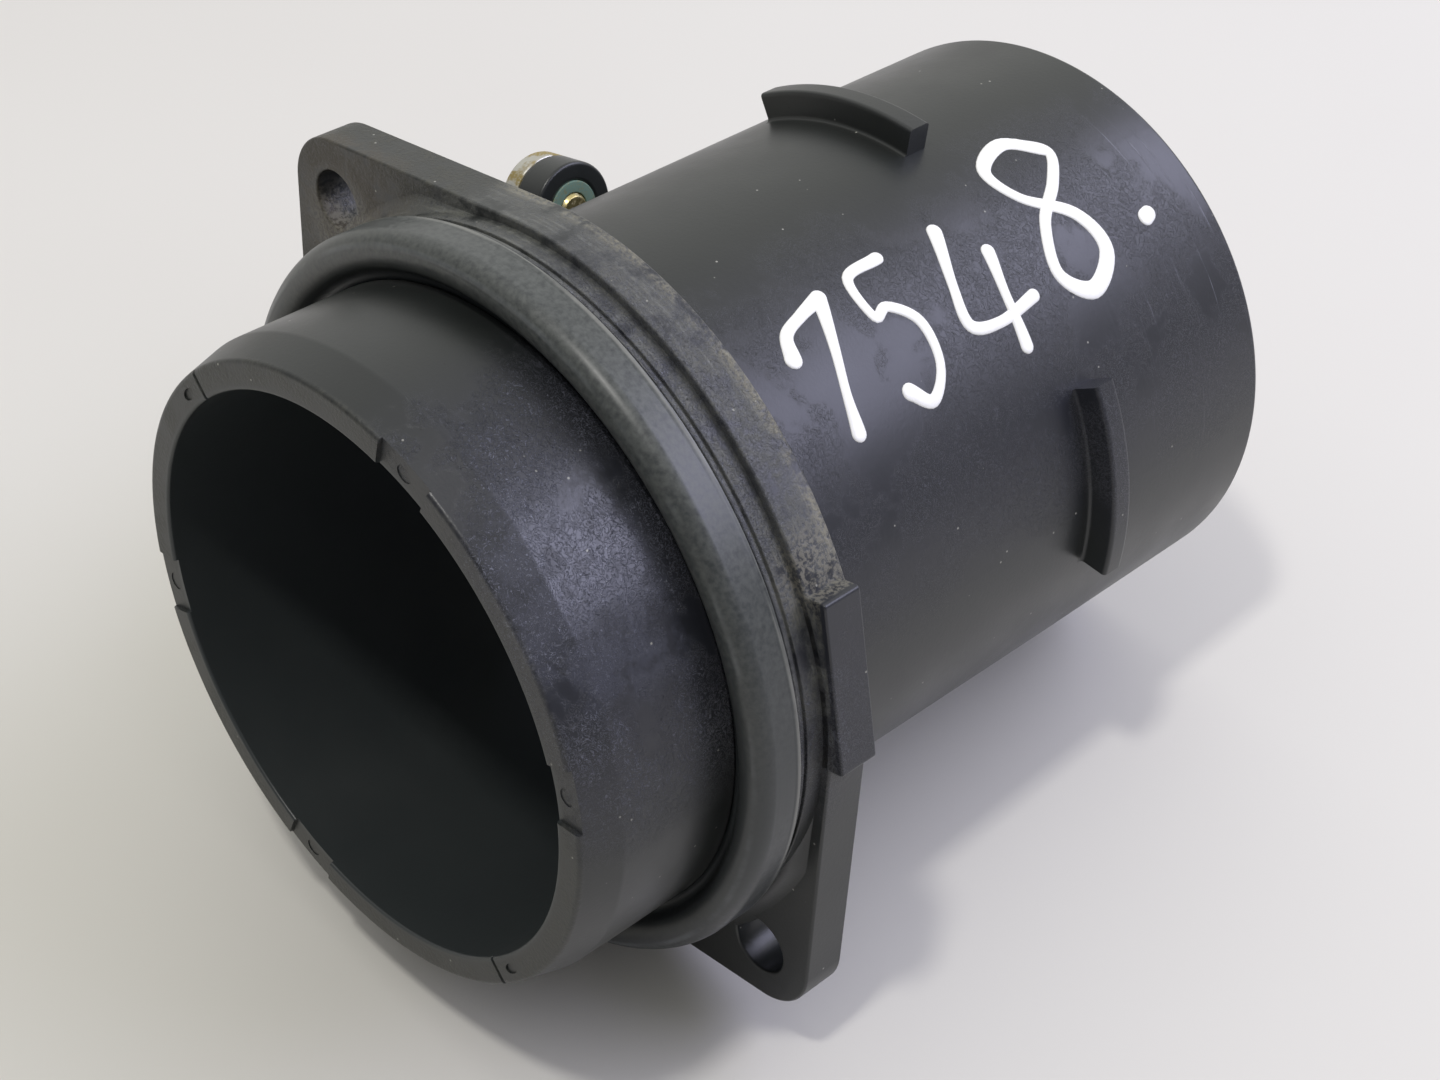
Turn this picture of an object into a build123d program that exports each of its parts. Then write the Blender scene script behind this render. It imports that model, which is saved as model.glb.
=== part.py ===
"""Mass airflow sensor for an engine intake: a moulded duct with a sealed spigot and an
eared flange, and a plug-in sensor module held on the duct's side by two screws.

Millimetres. The duct lies along Y, from the spigot (-Y) to the hose end (+Y), and +Z is up
as the sensor lies on a bench. The origin is on the duct's axis, in the plane of the flange's
mounting face.
"""

import os

from build123d import *

os.makedirs("parts", exist_ok=True)

# ---- Duct, from the spigot's rim to the hose end -------------------------------------------
hose_seat_radius = 35.0
hose_seat_start = 53.5
hose_end = 80.7
hose_end_chamfer = 0.4
wall_thickness = 2.8
tube_draft = 0.3
bore_chamfer = 0.3
spigot_step = 1.65
spigot_length = 26.8
lead_in_step = 1.25
lead_in_length = 4.7

# ---- Flange, with its collar, ears and locating key ----------------------------------------
collar_step = 4.85
collar_height = 3.1
flange_step = 1.0
flange_thickness = 5.4
flange_root_chamfer = 1.3
flange_edge_chamfer = 0.4
bolt_circle_step = 4.0
bolt_hole_radius = 3.5
ear_tip_radius = 7.2
ear_angle = 141.1
key_step = 1.0
key_width = 20.0
key_shift = 1.4
key_setback = 0.5
key_root = 6.0

# ---- Features set out from one clocking angle ----------------------------------------------
clocking = 15.0
stop_count = 4
stop_setback = 4.0
stop_thickness = 3.0
stop_rise = 3.4
stop_span = 36.0
stop_root_chamfer = 0.8
recess_offsets = (0, 60, 180, 240)
recess_span = 12.0
recess_depth = 0.5
ejector_mark_radius = 0.9
ejector_mark_depth = 0.2
gate_angles = (120, 300)
gate_mark_length = 2.4
gate_mark_width = 1.3
gate_mark_shift = 3.0
gate_slit_width = 0.5

# ---- Seal ring in front of the collar ------------------------------------------------------
seal_proud = 0.7
seal_width = 3.9
seal_bead_radius = 2.25
seal_bead_reach = 1.9
seal_bead_start = -127.0
seal_bead_facets = 5
seal_lip = 0.6
seal_gap = 0.3
seal_seat_depth = 0.4
seal_seat_margin = 0.2

# ---- Fits ----------------------------------------------------------------------------------
fit_gap = 0.05
cut_overrun = 1.0
moulded_in_gap = 0.02

# ---- Seat for the sensor module ------------------------------------------------------------
module_position = 34.7
pad_rise = 0.2
pad_length = 28.0
pad_width = 30.0
pad_corner = 4.0
lug_offset = 23.4
lug_radius = 5.8
lug_thickness = 4.4
lug_edge_chamfer = 0.4
lug_web_width = 9.0
port_length = 21.0
port_width = 16.0
port_corner = 5.0

# ---- Inserts, bushings and screws ----------------------------------------------------------
insert_radius = 3.5
screw_radius = 2.0
bushing_height = 2.5
bushing_clearance = 0.2
bushing_edge = 0.3
screw_head_radius = 3.9
screw_head_height = 3.4
screw_head_chamfer = 0.9
screw_tip_reach = 0.4

# ---- Sensor body: plate, neck, tray, finger and connector ----------------------------------
plate_ear_width = 14.0
plate_ear_reach = 20.0
neck_clearance = 0.2
neck_depth = 3.8
neck_groove_depth = 1.5
neck_groove_width = 1.9
neck_groove_setback = 1.8
neck_seal_width = 1.6
tray_length = 26.0
tray_width = 26.0
tray_corner = 3.0
tray_wall = 1.8
tray_floor = 4.0
tray_height = 14.3
sealant_thickness = 0.3
sealant_inset = 0.4
cover_thickness = 2.2
cover_edge_chamfer = 0.6
cover_rim_height = 1.4
cover_rim_width = 1.2

finger_length = 17.0
finger_width = 10.0
finger_edge_round = 3.0
finger_overrun = 8.0
channel_width = 3.6
channel_wall = 1.8
channel_bend = 2.4
channel_low = 4.6
channel_high = 24.0
channel_return = 13.0
channel_front = -4.5
channel_rear = 5.0
channel_cover_thickness = 1.2
channel_cover_low = 0.8
channel_cover_high = 27.4
outlet_length = 5.0
window_offset = 2.0
window_length = 5.0
window_height = 6.0
window_low = 29.5

connector_reach = 19.0
connector_width = 18.0
connector_height = 13.0
connector_corner = 3.0
connector_wall = 1.5
connector_floor = 3.0
latch_width = 5.0
latch_height = 1.5
latch_length = 3.0
latch_setback = 3.0
pin_count = 5
pin_pitch = 2.8
pin_width = 1.2
pin_thickness = 0.6
pin_rise = 4.1
pin_recess = 5.5
pin_tail = 2.6

# ---- Electronics in the tray and in the channel --------------------------------------------
base_plate_thickness = 1.0
base_plate_setback = 0.5
base_plate_margin = 0.7
tail_clearance = 1.8
board_thickness = 0.8
board_margin = 0.6
board_slot_length = 10.0
board_slot_width = 3.0
board_slot_offset = 0.4
board_slot_corner = 0.75
chip_size = 6.0
chip_height = 1.6
chip_margin = 0.9
package_chamfer = 0.2
stage_length = 4.6
stage_margin = 0.7
stage_width = 5.4
stage_height = 1.8
capacitor_count = 4
capacitor_length = 2.0
capacitor_width = 1.3
capacitor_height = 1.2
capacitor_pitch = 3.2
resistor_count = 6
resistor_length = 1.6
resistor_width = 0.8
resistor_height = 0.5
resistor_pitch = 2.4
resistor_margin = 2.5
passive_row_gap = 3.0
bond_wire_width = 0.6
bond_wire_thickness = 0.2
bond_wire_rise = 1.0
bond_wire_inset = 0.8
carrier_width = 2.6
carrier_thickness = 0.8
carrier_low = 16.0
carrier_stub = 1.0
element_length = 2.4
element_width = 1.8
element_thickness = 0.4
bead_radius = 0.9
lead_width = 0.4
lead_spacing = 1.0
lead_hole_clearance = 0.1

# ---- Radii, levels and frames that follow from the sizes -----------------------------------
bore_radius = hose_seat_radius - wall_thickness
tube_root_radius = hose_seat_radius - tube_draft
spigot_radius = hose_seat_radius + spigot_step
lead_in_radius = spigot_radius - lead_in_step
collar_radius = spigot_radius + collar_step
flange_radius = collar_radius + flange_step
bolt_circle_radius = flange_radius + bolt_circle_step
key_reach = flange_radius + key_step
stop_radius = hose_seat_radius + stop_rise
stop_start = hose_seat_start - stop_setback
seal_seat_radius = spigot_radius - seal_seat_depth
seal_radius = collar_radius + seal_proud
pad_height = hose_seat_radius + pad_rise
spigot_rim = -spigot_length
collar_front = -collar_height
seal_back = collar_front - seal_gap
seal_front = seal_back - seal_width
seal_seat_front = seal_front - seal_seat_margin
insert_face = pad_height - lug_thickness
neck_groove_level = pad_height - neck_groove_setback
bushing_top = pad_height + bushing_height
tray_base = bushing_top + tray_floor
tray_top = bushing_top + tray_height
board_top = tray_base + base_plate_thickness + board_thickness
pin_level = tray_base + pin_rise
pin_top = pin_level + pin_thickness / 2
finger_tip = -finger_overrun
finger_side = finger_width / 2
connector_mouth = tray_length / 2 + connector_reach

outward = Vector(1, 0, 0).rotate(Axis.Y, -(clocking + 180))
sideways = outward.cross(Vector(0, 1, 0))
both_lugs = ((0, -lug_offset), (0, lug_offset))


def across(y):
    """Plane across the duct at y, with X and Z as its sketch axes."""
    return Plane.XZ.offset(-y)


def over_seat(height):
    """Plane facing outwards over the module's seat: x along the duct, y sideways."""
    return Plane(Vector(0, module_position, 0) + outward * height, x_dir=(0, 1, 0), z_dir=outward)


def beside_finger(offset):
    """Plane along the finger, offset sideways: x along the duct, y outwards."""
    return Plane(Vector(0, module_position, 0) + sideways * offset, x_dir=(0, 1, 0), z_dir=-sideways)


def along_connector(offset):
    """Plane across the connector: x sideways, y outwards, centred on the pins."""
    centre = Vector(0, module_position + offset, 0) + outward * pin_level
    return Plane(centre, x_dir=sideways, z_dir=(0, 1, 0))


def ring_sector(y, inner, outer, middle, span):
    """Face across the duct at y, between two radii and over an angle."""
    with BuildSketch(across(y)) as sector:
        with BuildLine():
            outer_arc = CenterArc((0, 0), outer, middle - span / 2, span)
            inner_arc = CenterArc((0, 0), inner, middle - span / 2, span)
            Line(outer_arc @ 0, inner_arc @ 0)
            Line(outer_arc @ 1, inner_arc @ 1)
        make_face()
    return sector.sketch


def round_edges(shapes, radius):
    """Those circular edges of the given ones that have this radius, within a slight draft."""
    return shapes.filter_by(GeomType.CIRCLE).filter_by(lambda edge: abs(edge.radius - radius) < 0.05)


def at_level(shapes, y):
    """Those of the given shapes that lie across the duct at y."""
    return shapes.filter_by_position(Axis.Y, y - fit_gap, y + fit_gap)


def finish(part, name):
    """Label a piece and write it as its own node."""
    part.label = name
    export_step(part, f"parts/{name}.step")


# ---- Duct housing: one moulding ------------------------------------------------------------
with BuildPart() as duct_housing:
    # Tube, spigot and collar turned about the duct's axis.
    with BuildSketch(Plane.XY):
        with BuildLine():
            Polyline(
                (bore_radius, spigot_rim),
                (lead_in_radius, spigot_rim),
                (spigot_radius, spigot_rim + lead_in_length),
                (spigot_radius, seal_seat_front),
                (seal_seat_radius, seal_seat_front),
                (seal_seat_radius, collar_front),
                (collar_radius, collar_front),
                (collar_radius, flange_thickness / 2),
                (tube_root_radius, flange_thickness / 2),
                (tube_root_radius, flange_thickness),
                (hose_seat_radius, hose_seat_start),
                (hose_seat_radius, hose_end),
                (bore_radius, hose_end),
                close=True,
            )
        make_face()
    revolve(axis=Axis.Y)
    hose_rim = edges().filter_by(GeomType.CIRCLE).group_by(Axis.Y)[-1].sort_by(SortBy.RADIUS)
    chamfer(hose_rim[-1], hose_end_chamfer)
    chamfer(hose_rim[0], bore_chamfer)

    # Flange with two ears: the hull of the disc and of a boss round each hole.
    with BuildSketch(across(0)):
        Circle(flange_radius)
        with PolarLocations(bolt_circle_radius, 2, start_angle=ear_angle):
            Circle(ear_tip_radius)
        make_hull()
        Circle(bore_radius, mode=Mode.SUBTRACT)
        with PolarLocations(bolt_circle_radius, 2, start_angle=ear_angle):
            Circle(bolt_hole_radius, mode=Mode.SUBTRACT)
    extrude(amount=-flange_thickness)
    tube_root = at_level(round_edges(edges(), tube_root_radius), flange_thickness)
    chamfer(tube_root, flange_root_chamfer)

    # Locating key on the flange's edge.
    with BuildSketch(across(0)):
        with PolarLocations(0, 1, start_angle=clocking):
            with Locations((0, key_shift)):
                Rectangle(key_reach, key_width, align=(Align.MIN, Align.CENTER))
        Circle(flange_radius - key_root, mode=Mode.SUBTRACT)
    extrude(amount=key_setback - flange_thickness)
    flat_faces = faces().filter_by(Axis.Y)
    for level in (0, flange_thickness):
        chamfer(at_level(flat_faces, level)[0].outer_wire().edges(), flange_edge_chamfer)

    # Hose stops round the tube.
    for stop in range(stop_count):
        stop_angle = clocking + stop * 360 / stop_count
        sector = ring_sector(stop_start, bore_radius + cut_overrun, stop_radius, stop_angle, stop_span)
        extrude(sector, amount=-stop_thickness)
    chamfer(at_level(round_edges(edges(), hose_seat_radius), stop_start), stop_root_chamfer)

    # Seat for the sensor: a flat pad with a screw lug on each side.
    with BuildSketch(over_seat(insert_face)):
        RectangleRounded(pad_length, pad_width, pad_corner)
        Rectangle(lug_web_width, 2 * lug_offset)
        with Locations(*both_lugs):
            Circle(lug_radius)
    extrude(amount=lug_thickness)
    lug_rims = round_edges(edges(Select.LAST), lug_radius)
    chamfer(lug_rims, lug_edge_chamfer)
    with BuildSketch(across(spigot_rim)):
        Circle(bore_radius)
    extrude(amount=-(spigot_length + hose_end), mode=Mode.SUBTRACT)

    # Port for the neck and finger, and the seats of the threaded inserts.
    with BuildSketch(over_seat(0)):
        RectangleRounded(port_length, port_width, port_corner)
    extrude(amount=pad_height, mode=Mode.SUBTRACT)
    with BuildSketch(over_seat(insert_face)):
        with Locations(*both_lugs):
            Circle(insert_radius + moulded_in_gap)
    extrude(amount=lug_thickness, mode=Mode.SUBTRACT)

    # Shallow recesses in the spigot's rim, each with the mark of an ejector pin.
    for offset_angle in recess_offsets:
        sector = ring_sector(
            spigot_rim, bore_radius - cut_overrun, spigot_radius, clocking + offset_angle, recess_span
        )
        extrude(sector, amount=-recess_depth, mode=Mode.SUBTRACT)
        with BuildSketch(across(spigot_rim + recess_depth)):
            rim_middle = (bore_radius + lead_in_radius) / 2
            with PolarLocations(rim_middle, 1, start_angle=clocking + offset_angle):
                Circle(ejector_mark_radius)
        extrude(amount=-ejector_mark_depth, mode=Mode.SUBTRACT)

    # Witness of the two mould gates in the rim: a radial slit beside an oval mark.
    for gate_angle in gate_angles:
        with BuildSketch(across(spigot_rim)):
            with PolarLocations(rim_middle, 1, start_angle=clocking + gate_angle):
                Rectangle(wall_thickness, gate_slit_width)
                with Locations((0, gate_mark_shift)):
                    SlotOverall(gate_mark_length, gate_mark_width, rotation=90)
        extrude(amount=-ejector_mark_depth, mode=Mode.SUBTRACT)

finish(duct_housing.part, "duct_housing")

# ---- Seal ring: a rubber ring whose bead leans forward over the spigot ---------------------
with BuildPart() as seal_ring:
    with BuildSketch(Plane.XY):
        with BuildLine():
            inner = seal_seat_radius + fit_gap
            bead_centre = (seal_radius - seal_bead_radius, seal_front - seal_bead_reach + seal_bead_radius)
            bead = CenterArc(
                bead_centre, seal_bead_radius, seal_bead_start, -seal_bead_start, mode=Mode.PRIVATE
            )
            Polyline(
                (inner, seal_front),
                (spigot_radius, seal_front),
                *[bead @ (facet / seal_bead_facets) for facet in range(seal_bead_facets + 1)],
                (seal_radius, seal_back - seal_lip),
                (seal_radius - seal_lip, seal_back),
                (inner, seal_back),
                close=True,
            )
        make_face()
    revolve(axis=Axis.Y)

finish(seal_ring.part, "seal_ring")

# ---- Threaded inserts in the lugs ----------------------------------------------------------
with BuildPart() as screw_inserts:
    with BuildSketch(over_seat(insert_face)):
        with Locations(*both_lugs):
            Circle(insert_radius)
            Circle(screw_radius + fit_gap, mode=Mode.SUBTRACT)
    extrude(amount=lug_thickness)

finish(screw_inserts.part, "screw_inserts")

# ---- Steel bushings that carry the screws' clamping load -----------------------------------
with BuildPart() as flange_bushings:
    with BuildSketch(over_seat(pad_height)):
        with Locations(*both_lugs):
            Circle(lug_radius)
            Circle(screw_radius + bushing_clearance, mode=Mode.SUBTRACT)
    extrude(amount=bushing_height)
    chamfer(edges().group_by(Axis((0, 0, 0), outward))[-1].sort_by(SortBy.RADIUS)[-2:], bushing_edge)

finish(flange_bushings.part, "flange_bushings")

# ---- Pan-head screws -----------------------------------------------------------------------
with BuildPart() as sensor_screws:
    with BuildSketch(over_seat(bushing_top)):
        with Locations(*both_lugs):
            Circle(screw_head_radius)
    extrude(amount=screw_head_height)
    chamfer(edges().group_by(Axis((0, 0, 0), outward))[-1], screw_head_chamfer)
    with BuildSketch(over_seat(insert_face - screw_tip_reach)):
        with Locations(*both_lugs):
            Circle(screw_radius)
    extrude(amount=lug_thickness + bushing_height + screw_tip_reach)

finish(sensor_screws.part, "sensor_screws")

# ---- Sensor body: plate, neck, tray, finger and connector shell in one moulding ------------
with BuildPart() as sensor_body:
    # Plate on the pad, with an ear that cups each bushing.
    with BuildSketch(over_seat(pad_height)):
        RectangleRounded(pad_length, pad_width, pad_corner)
        Rectangle(plate_ear_width, 2 * plate_ear_reach)
        with Locations(*both_lugs):
            Circle(lug_radius + fit_gap, mode=Mode.SUBTRACT)
    extrude(amount=bushing_height)

    # Neck in the port, with a groove for its seal.
    with BuildSketch(over_seat(pad_height - neck_depth)):
        RectangleRounded(
            port_length - 2 * neck_clearance, port_width - 2 * neck_clearance, port_corner - neck_clearance
        )
    extrude(amount=neck_depth)
    with BuildSketch(over_seat(neck_groove_level - neck_groove_width / 2)):
        RectangleRounded(port_length, port_width, port_corner)
        offset(amount=-neck_clearance - neck_groove_depth, mode=Mode.SUBTRACT)
    extrude(amount=neck_groove_width, mode=Mode.SUBTRACT)

    # Tray for the electronics, closed by its cover.
    with BuildSketch(over_seat(bushing_top)):
        RectangleRounded(tray_length, tray_width, tray_corner)
    extrude(amount=tray_height)
    with BuildSketch(over_seat(tray_base)):
        RectangleRounded(
            tray_length - 2 * tray_wall, tray_width - 2 * tray_wall, tray_corner - tray_wall
        )
    extrude(amount=tray_top - tray_base, mode=Mode.SUBTRACT)

    # Finger that reaches past the duct's axis.
    with BuildSketch(over_seat(finger_tip)):
        RectangleRounded(finger_length, finger_width, finger_edge_round)
    extrude(amount=pad_height - finger_tip)

    # Measuring channel: in at the front edge, round a hairpin and out through the side wall.
    with BuildSketch(beside_finger(channel_wall - finger_side)):
        with BuildLine():
            FilletPolyline(
                (-finger_length / 2 - cut_overrun, finger_tip + channel_low),
                (channel_rear, finger_tip + channel_low),
                (channel_rear, finger_tip + channel_high),
                (channel_front, finger_tip + channel_high),
                (channel_front, finger_tip + channel_return),
                radius=channel_bend,
            )
        trace(line_width=channel_width)
    extrude(amount=-(finger_width - channel_wall), mode=Mode.SUBTRACT)
    with BuildSketch(beside_finger(-finger_side)):
        with Locations((channel_front, finger_tip + channel_return + outlet_length / 2)):
            SlotOverall(outlet_length, channel_width / 2, rotation=90)
    extrude(amount=-channel_wall, mode=Mode.SUBTRACT)

    # Rebate for the channel's cover.
    with BuildSketch(over_seat(finger_tip + channel_cover_low)):
        with Locations((0, finger_side)):
            Rectangle(
                finger_length, channel_cover_thickness, align=(Align.CENTER, Align.MAX)
            )
    extrude(amount=channel_cover_high - channel_cover_low, mode=Mode.SUBTRACT)

    # Window for the air thermistor, with the bores of its leads and the chip carrier's slot.
    with BuildSketch(beside_finger(-finger_side)):
        with Locations((window_offset, finger_tip + window_low + window_height / 2)):
            RectangleRounded(window_length, window_height, channel_wall / 2)
    extrude(amount=-finger_width, mode=Mode.SUBTRACT)
    with BuildSketch(over_seat(finger_tip + window_low)):
        with Locations((window_offset, 0)):
            with GridLocations(lead_spacing, 0, 2, 1):
                Rectangle(lead_width + 2 * lead_hole_clearance, lead_width + 2 * lead_hole_clearance)
    extrude(amount=tray_base - finger_tip - window_low, mode=Mode.SUBTRACT)
    slot_low = finger_tip + channel_high - channel_bend
    with BuildSketch(over_seat(slot_low)):
        with Locations((channel_front, 0)):
            Rectangle(carrier_width + 2 * fit_gap, carrier_thickness + 2 * fit_gap)
    extrude(amount=tray_base - slot_low, mode=Mode.SUBTRACT)

    # Connector shell, with a latch nose outside and slots for the pins through its floor.
    with BuildSketch(along_connector(tray_length / 2)):
        RectangleRounded(connector_width, connector_height, connector_corner)
    extrude(amount=connector_reach)
    with BuildSketch(along_connector(tray_length / 2 + connector_floor)):
        RectangleRounded(
            connector_width - 2 * connector_wall,
            connector_height - 2 * connector_wall,
            connector_corner - connector_wall,
        )
    extrude(amount=connector_reach - connector_floor, mode=Mode.SUBTRACT)
    with BuildSketch(along_connector(connector_mouth - latch_setback)):
        with Locations((0, connector_height / 2)):
            Rectangle(latch_width, 2 * latch_height)
        with Locations((0, 0)):
            Rectangle(connector_width, connector_height - connector_wall, mode=Mode.SUBTRACT)
    extrude(amount=-latch_length)
    with BuildSketch(along_connector(tray_length / 2 - tray_wall)):
        with GridLocations(pin_pitch, 0, pin_count, 1):
            Rectangle(pin_width + 2 * moulded_in_gap, pin_thickness + 2 * moulded_in_gap)
    extrude(amount=tray_wall + connector_floor, mode=Mode.SUBTRACT)

finish(sensor_body.part, "sensor_body")

# ---- Seal in the neck's groove -------------------------------------------------------------
with BuildPart() as neck_seal:
    with BuildSketch(over_seat(neck_groove_level - neck_seal_width / 2)):
        RectangleRounded(
            port_length - 2 * fit_gap, port_width - 2 * fit_gap, port_corner - fit_gap
        )
        offset(amount=-neck_seal_width, mode=Mode.SUBTRACT)
    extrude(amount=neck_seal_width)

finish(neck_seal.part, "neck_seal")

# ---- Tray cover, on a bead of sealant ------------------------------------------------------
cover_base = tray_top + sealant_thickness
with BuildPart() as tray_sealant:
    with BuildSketch(over_seat(tray_top)):
        RectangleRounded(
            tray_length - 2 * sealant_inset, tray_width - 2 * sealant_inset, tray_corner - sealant_inset
        )
        RectangleRounded(
            tray_length - 2 * tray_wall,
            tray_width - 2 * tray_wall,
            tray_corner - tray_wall,
            mode=Mode.SUBTRACT,
        )
    extrude(amount=sealant_thickness)

finish(tray_sealant.part, "tray_sealant")

with BuildPart() as tray_cover:
    with BuildSketch(over_seat(cover_base)):
        RectangleRounded(tray_length, tray_width, tray_corner)
    extrude(amount=cover_thickness)
    chamfer(edges().group_by(Axis((0, 0, 0), outward))[-1], cover_edge_chamfer)
    with BuildSketch(over_seat(cover_base)):
        rim_inset = tray_wall + 2 * fit_gap
        RectangleRounded(
            tray_length - 2 * rim_inset, tray_width - 2 * rim_inset, tray_corner - rim_inset
        )
        rim_inset += cover_rim_width
        Rectangle(tray_length - 2 * rim_inset, tray_width - 2 * rim_inset, mode=Mode.SUBTRACT)
    extrude(amount=-cover_rim_height)

finish(tray_cover.part, "tray_cover")

# ---- Cover of the measuring channel --------------------------------------------------------
with BuildPart() as channel_cover:
    with BuildSketch(over_seat(finger_tip + channel_cover_low + fit_gap)):
        RectangleRounded(finger_length, finger_width, finger_edge_round)
        with Locations((0, finger_side)):
            Rectangle(
                finger_length,
                channel_cover_thickness,
                align=(Align.CENTER, Align.MAX),
                mode=Mode.INTERSECT,
            )
    extrude(amount=channel_cover_high - channel_cover_low - 2 * fit_gap)

finish(channel_cover.part, "channel_cover")

# ---- Terminal pins -------------------------------------------------------------------------
with BuildPart() as terminal_pins:
    with BuildSketch(along_connector(tray_length / 2 - tray_wall - pin_tail)):
        with GridLocations(pin_pitch, 0, pin_count, 1):
            Rectangle(pin_width, pin_thickness)
    extrude(amount=pin_tail + tray_wall + connector_reach - pin_recess)

finish(terminal_pins.part, "terminal_pins")

# ---- Base plate and circuit board, with a shared slot for the carrier and the leads --------
tray_half_length = tray_length / 2 - tray_wall
base_plate_length = 2 * tray_half_length - pin_tail - tail_clearance
base_plate_width = tray_width - 2 * tray_wall - 2 * base_plate_margin
board_middle = base_plate_setback - (tray_half_length - base_plate_length / 2)
board_length = base_plate_length - 2 * board_margin
board_width = base_plate_width - 2 * board_margin
board_edge = board_middle + board_length / 2
slot_middle = (channel_front + window_offset) / 2 + board_slot_offset
with BuildPart() as base_plate:
    with BuildSketch(over_seat(tray_base)):
        with Locations((board_middle, 0)):
            Rectangle(base_plate_length, base_plate_width)
        with Locations((slot_middle, 0)):
            RectangleRounded(
                board_slot_length, board_slot_width, board_slot_corner, mode=Mode.SUBTRACT
            )
    extrude(amount=base_plate_thickness)

finish(base_plate.part, "base_plate")

with BuildPart() as circuit_board:
    with BuildSketch(over_seat(tray_base + base_plate_thickness)):
        with Locations((board_middle, 0)):
            Rectangle(board_length, board_width)
        with Locations((slot_middle, 0)):
            RectangleRounded(
                board_slot_length, board_slot_width, board_slot_corner, mode=Mode.SUBTRACT
            )
    extrude(amount=board_thickness)

finish(circuit_board.part, "circuit_board")

# ---- Components on the board ---------------------------------------------------------------
with BuildPart() as control_chip:
    with BuildSketch(over_seat(board_top)):
        chip_offset = board_width / 2 - chip_margin - chip_size / 2
        with Locations((board_middle - chip_size / 2, chip_offset)):
            Rectangle(chip_size, chip_size)
    extrude(amount=chip_height)
    chamfer(edges().group_by(Axis((0, 0, 0), outward))[-1], package_chamfer)

finish(control_chip.part, "control_chip")

with BuildPart() as output_stage:
    with BuildSketch(over_seat(board_top)):
        stage_offset = board_edge - bond_wire_inset - stage_margin - stage_length / 2
        with Locations((stage_offset, chip_offset)):
            Rectangle(stage_length, stage_width)
    extrude(amount=stage_height)
    chamfer(edges().group_by(Axis((0, 0, 0), outward))[-1], package_chamfer)

finish(output_stage.part, "output_stage")

resistor_row = resistor_margin - board_width / 2
with BuildPart() as board_capacitors:
    with BuildSketch(over_seat(board_top)):
        with Locations((board_middle, resistor_row + passive_row_gap)):
            with GridLocations(capacitor_pitch, 0, capacitor_count, 1):
                Rectangle(capacitor_length, capacitor_width)
    extrude(amount=capacitor_height)

finish(board_capacitors.part, "board_capacitors")

with BuildPart() as board_resistors:
    with BuildSketch(over_seat(board_top)):
        with Locations((board_middle, resistor_row)):
            with GridLocations(resistor_pitch, 0, resistor_count, 1):
                Rectangle(resistor_length, resistor_width)
    extrude(amount=resistor_height)

finish(board_resistors.part, "board_resistors")

# ---- Flat bond wires from the pins' tails down to the board --------------------------------
tail_end = tray_half_length - pin_tail
with BuildPart() as bond_wires:
    for pin in range(pin_count):
        pin_offset = (pin - (pin_count - 1) / 2) * pin_pitch
        with BuildSketch(beside_finger(pin_offset)):
            with BuildLine():
                Polyline(
                    (tail_end + bond_wire_inset, pin_top),
                    (tail_end + bond_wire_inset, pin_top + bond_wire_rise),
                    (board_edge - bond_wire_inset, pin_top + bond_wire_rise),
                    (board_edge - bond_wire_inset, board_top),
                )
            trace(line_width=bond_wire_thickness)
        extrude(amount=bond_wire_width / 2, both=True)

finish(bond_wires.part, "bond_wires")

# ---- Heated element on its carrier, down in the channel ------------------------------------
with BuildPart() as chip_carrier:
    with BuildSketch(over_seat(finger_tip + carrier_low)):
        with Locations((channel_front, 0)):
            Rectangle(carrier_width, carrier_thickness)
    extrude(amount=board_top + carrier_stub - finger_tip - carrier_low)

finish(chip_carrier.part, "chip_carrier")

with BuildPart() as heated_element:
    with BuildSketch(beside_finger(carrier_thickness / 2)):
        with Locations((channel_front, finger_tip + carrier_low + element_length)):
            Rectangle(element_width, element_length)
    extrude(amount=-element_thickness)

finish(heated_element.part, "heated_element")

# ---- Air thermistor: a glass bead on two leads ---------------------------------------------
bead_level = finger_tip + window_low + window_height / 2
with BuildPart() as thermistor_bead:
    with BuildSketch(beside_finger(0)):
        with Locations((window_offset, bead_level)):
            Circle(bead_radius)
            with Locations((0, bead_radius)):
                Rectangle(2 * bead_radius, 2 * bead_radius, mode=Mode.ADD)
    extrude(amount=bead_radius / 2, both=True)

finish(thermistor_bead.part, "thermistor_bead")

with BuildPart() as thermistor_leads:
    with BuildSketch(over_seat(bead_level + 2 * bead_radius)):
        with Locations((window_offset, 0)):
            with GridLocations(lead_spacing, 0, 2, 1):
                Rectangle(lead_width, lead_width)
    extrude(amount=board_top + carrier_stub - bead_level - 2 * bead_radius)

finish(thermistor_leads.part, "thermistor_leads")
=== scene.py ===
# %% [markdown]
# # Mass airflow sensor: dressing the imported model
# The CAD model gives every solid its place. Here its moulded duct, rubber ring and metal parts
# get finer meshes, and every surface gets a procedural finish. All sizes are written in
# millimetres and turned into metres once, in the helpers that make the meshes.

import math

import bmesh
import bpy
from mathutils import Matrix, Vector


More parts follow.
